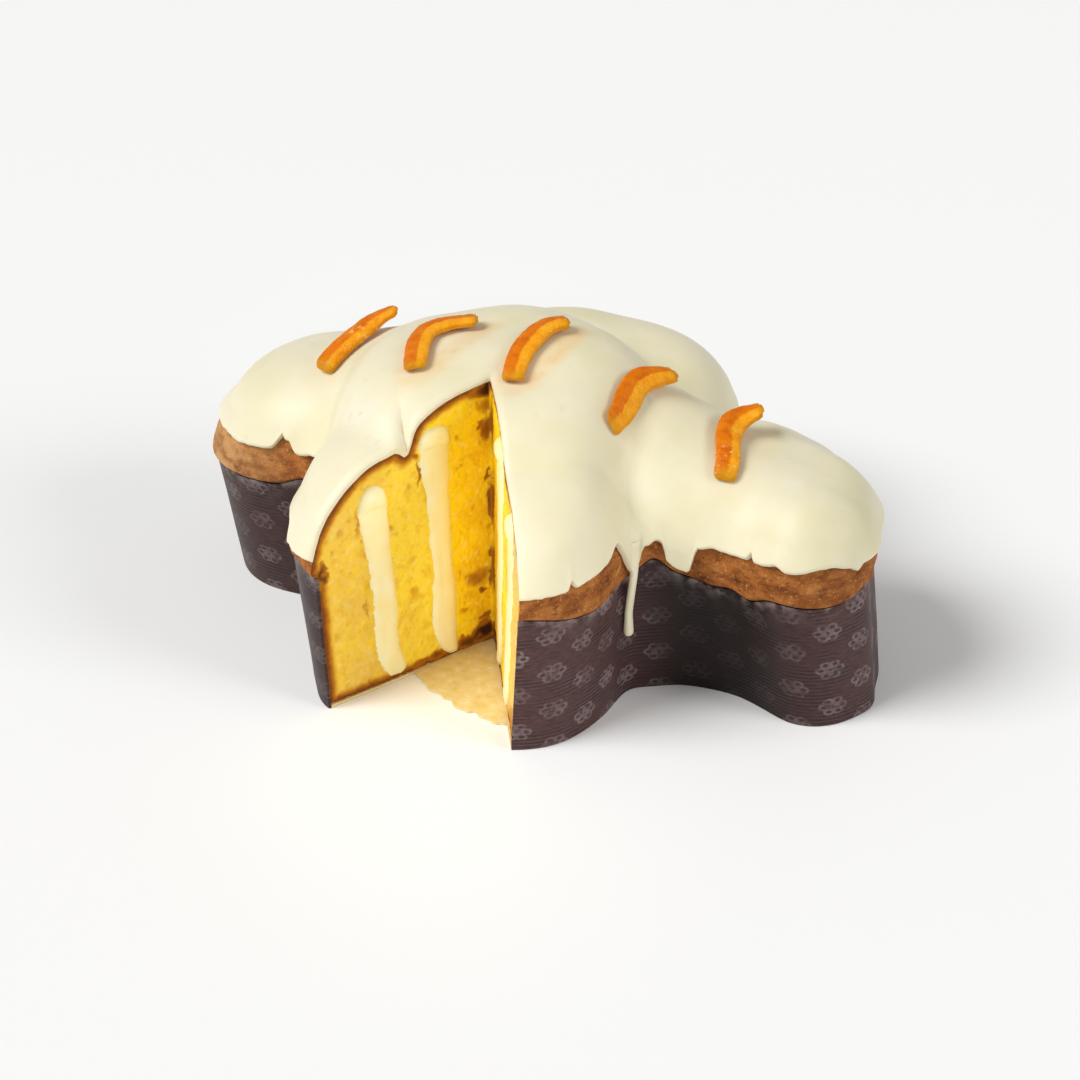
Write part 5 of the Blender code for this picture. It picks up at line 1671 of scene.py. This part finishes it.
def paper_material():
    """Dark paper with faint ribs, a painted highlight on their crests and painted shade in their grooves, a
    worn, paler print, and painted shade in the creases.
    """
    made = Nodes("printed dark paper")
    place = made.place()
    up = made.value("up")
    motif = rosette(made, made.value("along"), up)
    worn = made.steps(made.noise(place, 420.0, 3.0, 0.6), 0.36, 0.58)
    rubbed = made.steps(made.noise(place, 46.0, 2.0), 0.34, 0.62)
    motif = made.times(motif, made.math("MULTIPLY_ADD", worn, 0.62, 0.20))
    motif = made.times(motif, made.math("MULTIPLY_ADD", rubbed, 0.55, 0.45))
    fibre = made.noise(made.scaled(place, (1.0, 1.0, 6.0)), 300.0, 3.0)
    ground = made.ramp(fibre, WALL_COLOURS)
    crest = made.math("SINE", made.times(up, 2.0 * math.pi / RIB_PITCH))
    ribbed = made.steps(made.noise(made.scaled(place, (1.0, 1.0, 2.0)), 60.0, 2.0), 0.42, 0.60)
    # Painted shade in the grooves between the ribs
    painted_groove_shade = made.math("MULTIPLY_ADD", crest, -0.22, 0.22)
    ground = made.mix(made.times(painted_groove_shade, ribbed), ground, "#150C0B")
    # Painted highlight on the crests of the ribs
    painted_rib_highlight = made.times(made.steps(crest, 0.30, 1.0), ribbed)
    ground = made.mix(made.times(painted_rib_highlight, 0.16), ground, "#7A6668")
    colour = made.mix(made.times(motif, 0.60), ground, "#9C8C8A")
    # Painted shade: the paper is drawn near black in its shaded places
    colour = made.mix(made.times(made.value("painted_crease_shade"), 0.88), colour, "#0C0504")
    chalky = made.times(made.value("worn"), made.steps(made.noise(place, 190.0, 3.0), 0.40, 0.66))
    colour = made.mix(made.times(chalky, 0.62), colour, "#A0918C")
    ribs = made.bump(made.times(crest, ribbed), 0.00020, 0.35)
    made.set(Base_Color=colour, Roughness=0.54, Specular_IOR_Level=0.24, Sheen_Weight=0.05,
             Sheen_Roughness=0.45, Normal=made.bump(made.noise(place, 1200.0, 2.0), 0.0002, 0.4, ribs))
    return made.material


def floor_paper_material():
    """Plain tan paper with faint fibres."""
    made = Nodes("plain tan paper")
    place = made.place()
    colour = made.ramp(made.noise(place, 240.0, 4.0, 0.6), FLOOR_COLOURS)
    made.set(Base_Color=colour, Roughness=0.7, Normal=made.bump(made.noise(place, 700.0, 3.0), 0.0003, 0.4))
    return made.material


# Room: pale floor, soft lights, camera

FLOOR_HALF = 40.0
FLOOR_DROP = 0.0002
CAMERA = {"azimuth": 22.12, "elevation": 29.96, "distance": 0.89886, "target": (0.0, 0.0, 0.050),
          "lens": 73.77, "shift_x": 0.0017, "shift_y": -0.0364}
WORLD_LIGHT = 0.32
# Broad lights: direction round the loaf from the front, height, strength, softness, all angles in degrees
SUNS = {"key": (-50.0, 45.0, 2.5, 30.0), "right fill": (88.0, 28.0, 1.0, 25.0)}
# Narrow light on the cut and the wing round it
SPOTS = {
    "front": {"azimuth": 26.0, "elevation": 26.0, "distance": 1.10, "aim": (0.000, -0.085, 0.055),
              "power": 28.0, "cone": 8.6, "radius": 0.08},
}


def direction(azimuth, elevation):
    """Unit vector from the loaf toward a light or the camera."""
    turn = math.radians(azimuth)
    lift = math.radians(elevation)
    return Vector((math.sin(turn) * math.cos(lift), -math.cos(turn) * math.cos(lift), math.sin(lift)))


def build_room():
    corners = [(x * FLOOR_HALF, y * FLOOR_HALF, -FLOOR_DROP) for x, y in ((-1, -1), (1, -1), (1, 1), (-1, 1))]
    floor = make_object("pale_floor", corners, [(0, 1, 2, 3)])
    made = Nodes("pale floor")
    made.set(Base_Color=rgb("#F8F8F7"), Roughness=0.6)
    floor.data.materials.append(made.material)
    bpy.context.scene.view_settings.view_transform = "Standard"
    world = bpy.data.worlds.new("soft studio")
    world.use_nodes = True
    world.node_tree.nodes["Background"].inputs["Color"].default_value = rgb("#FFFFFF")
    world.node_tree.nodes["Background"].inputs["Strength"].default_value = WORLD_LIGHT
    bpy.context.scene.world = world
    for name, (azimuth, elevation, strength, softness) in SUNS.items():
        sun = add_light(name, "SUN", direction(azimuth, elevation), Vector((0.0, 0.0, 0.0)), strength)
        sun.angle = math.radians(softness)
    for name, spot in SPOTS.items():
        aim = Vector(spot["aim"])
        back = direction(spot["azimuth"], spot["elevation"]) * spot["distance"]
        light = add_light(name, "SPOT", aim + back, aim, spot["power"])
        light.spot_size = math.radians(spot["cone"])
        light.spot_blend = 1.0
        light.shadow_soft_size = spot["radius"]


def add_light(name, kind, place, aim, strength):
    data = bpy.data.lights.new(name, kind)
    data.energy = strength
    light = bpy.data.objects.new(name, data)
    light.location = place
    light.rotation_euler = (aim - place).to_track_quat("-Z", "Y").to_euler()
    bpy.context.scene.collection.objects.link(light)
    return data


def build_camera():
    back = direction(CAMERA["azimuth"], CAMERA["elevation"])
    target = Vector(CAMERA["target"]) + Vector((*MIDDLE_SHIFT, 0.0))
    data = bpy.data.cameras.new("camera")
    data.sensor_width = 36.0
    data.lens = CAMERA["lens"]
    data.shift_x = CAMERA["shift_x"]
    data.shift_y = CAMERA["shift_y"]
    data.clip_start = 0.05
    data.clip_end = 120.0
    camera = bpy.data.objects.new("camera", data)
    camera.location = target + back * CAMERA["distance"]
    camera.rotation_euler = (-back).to_track_quat("-Z", "Y").to_euler()
    bpy.context.scene.collection.objects.link(camera)
    bpy.context.scene.camera = camera


def dress(piece, material, slot, *nodes):
    piece.data.materials.clear()
    piece.data.materials.append(material)
    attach(piece, "root")
    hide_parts(*nodes)


def main():
    build_camera()
    build_room()
    plan = loaf_plan(HALF_POINTS)
    dress(build_bread(plan), bread_material(), "bread", "bread")
    dress(build_icing(plan), icing_material(), "icing", "icing")
    cream = cream_material()
    for name in CREAM_DRAWS:
        dress(build_cream(name), cream, "cream", "cream_" + name)
    dress(build_wall(), paper_material(), "printed_paper", "case_wall")
    dress(build_floor(), floor_paper_material(), "plain_paper", "case_base")
    peel = peel_material()
    for number, strip in enumerate(PEELS, start=1):
        dress(build_peel(number, strip), peel, "candied_peel", "peel_" + str(number))


main()
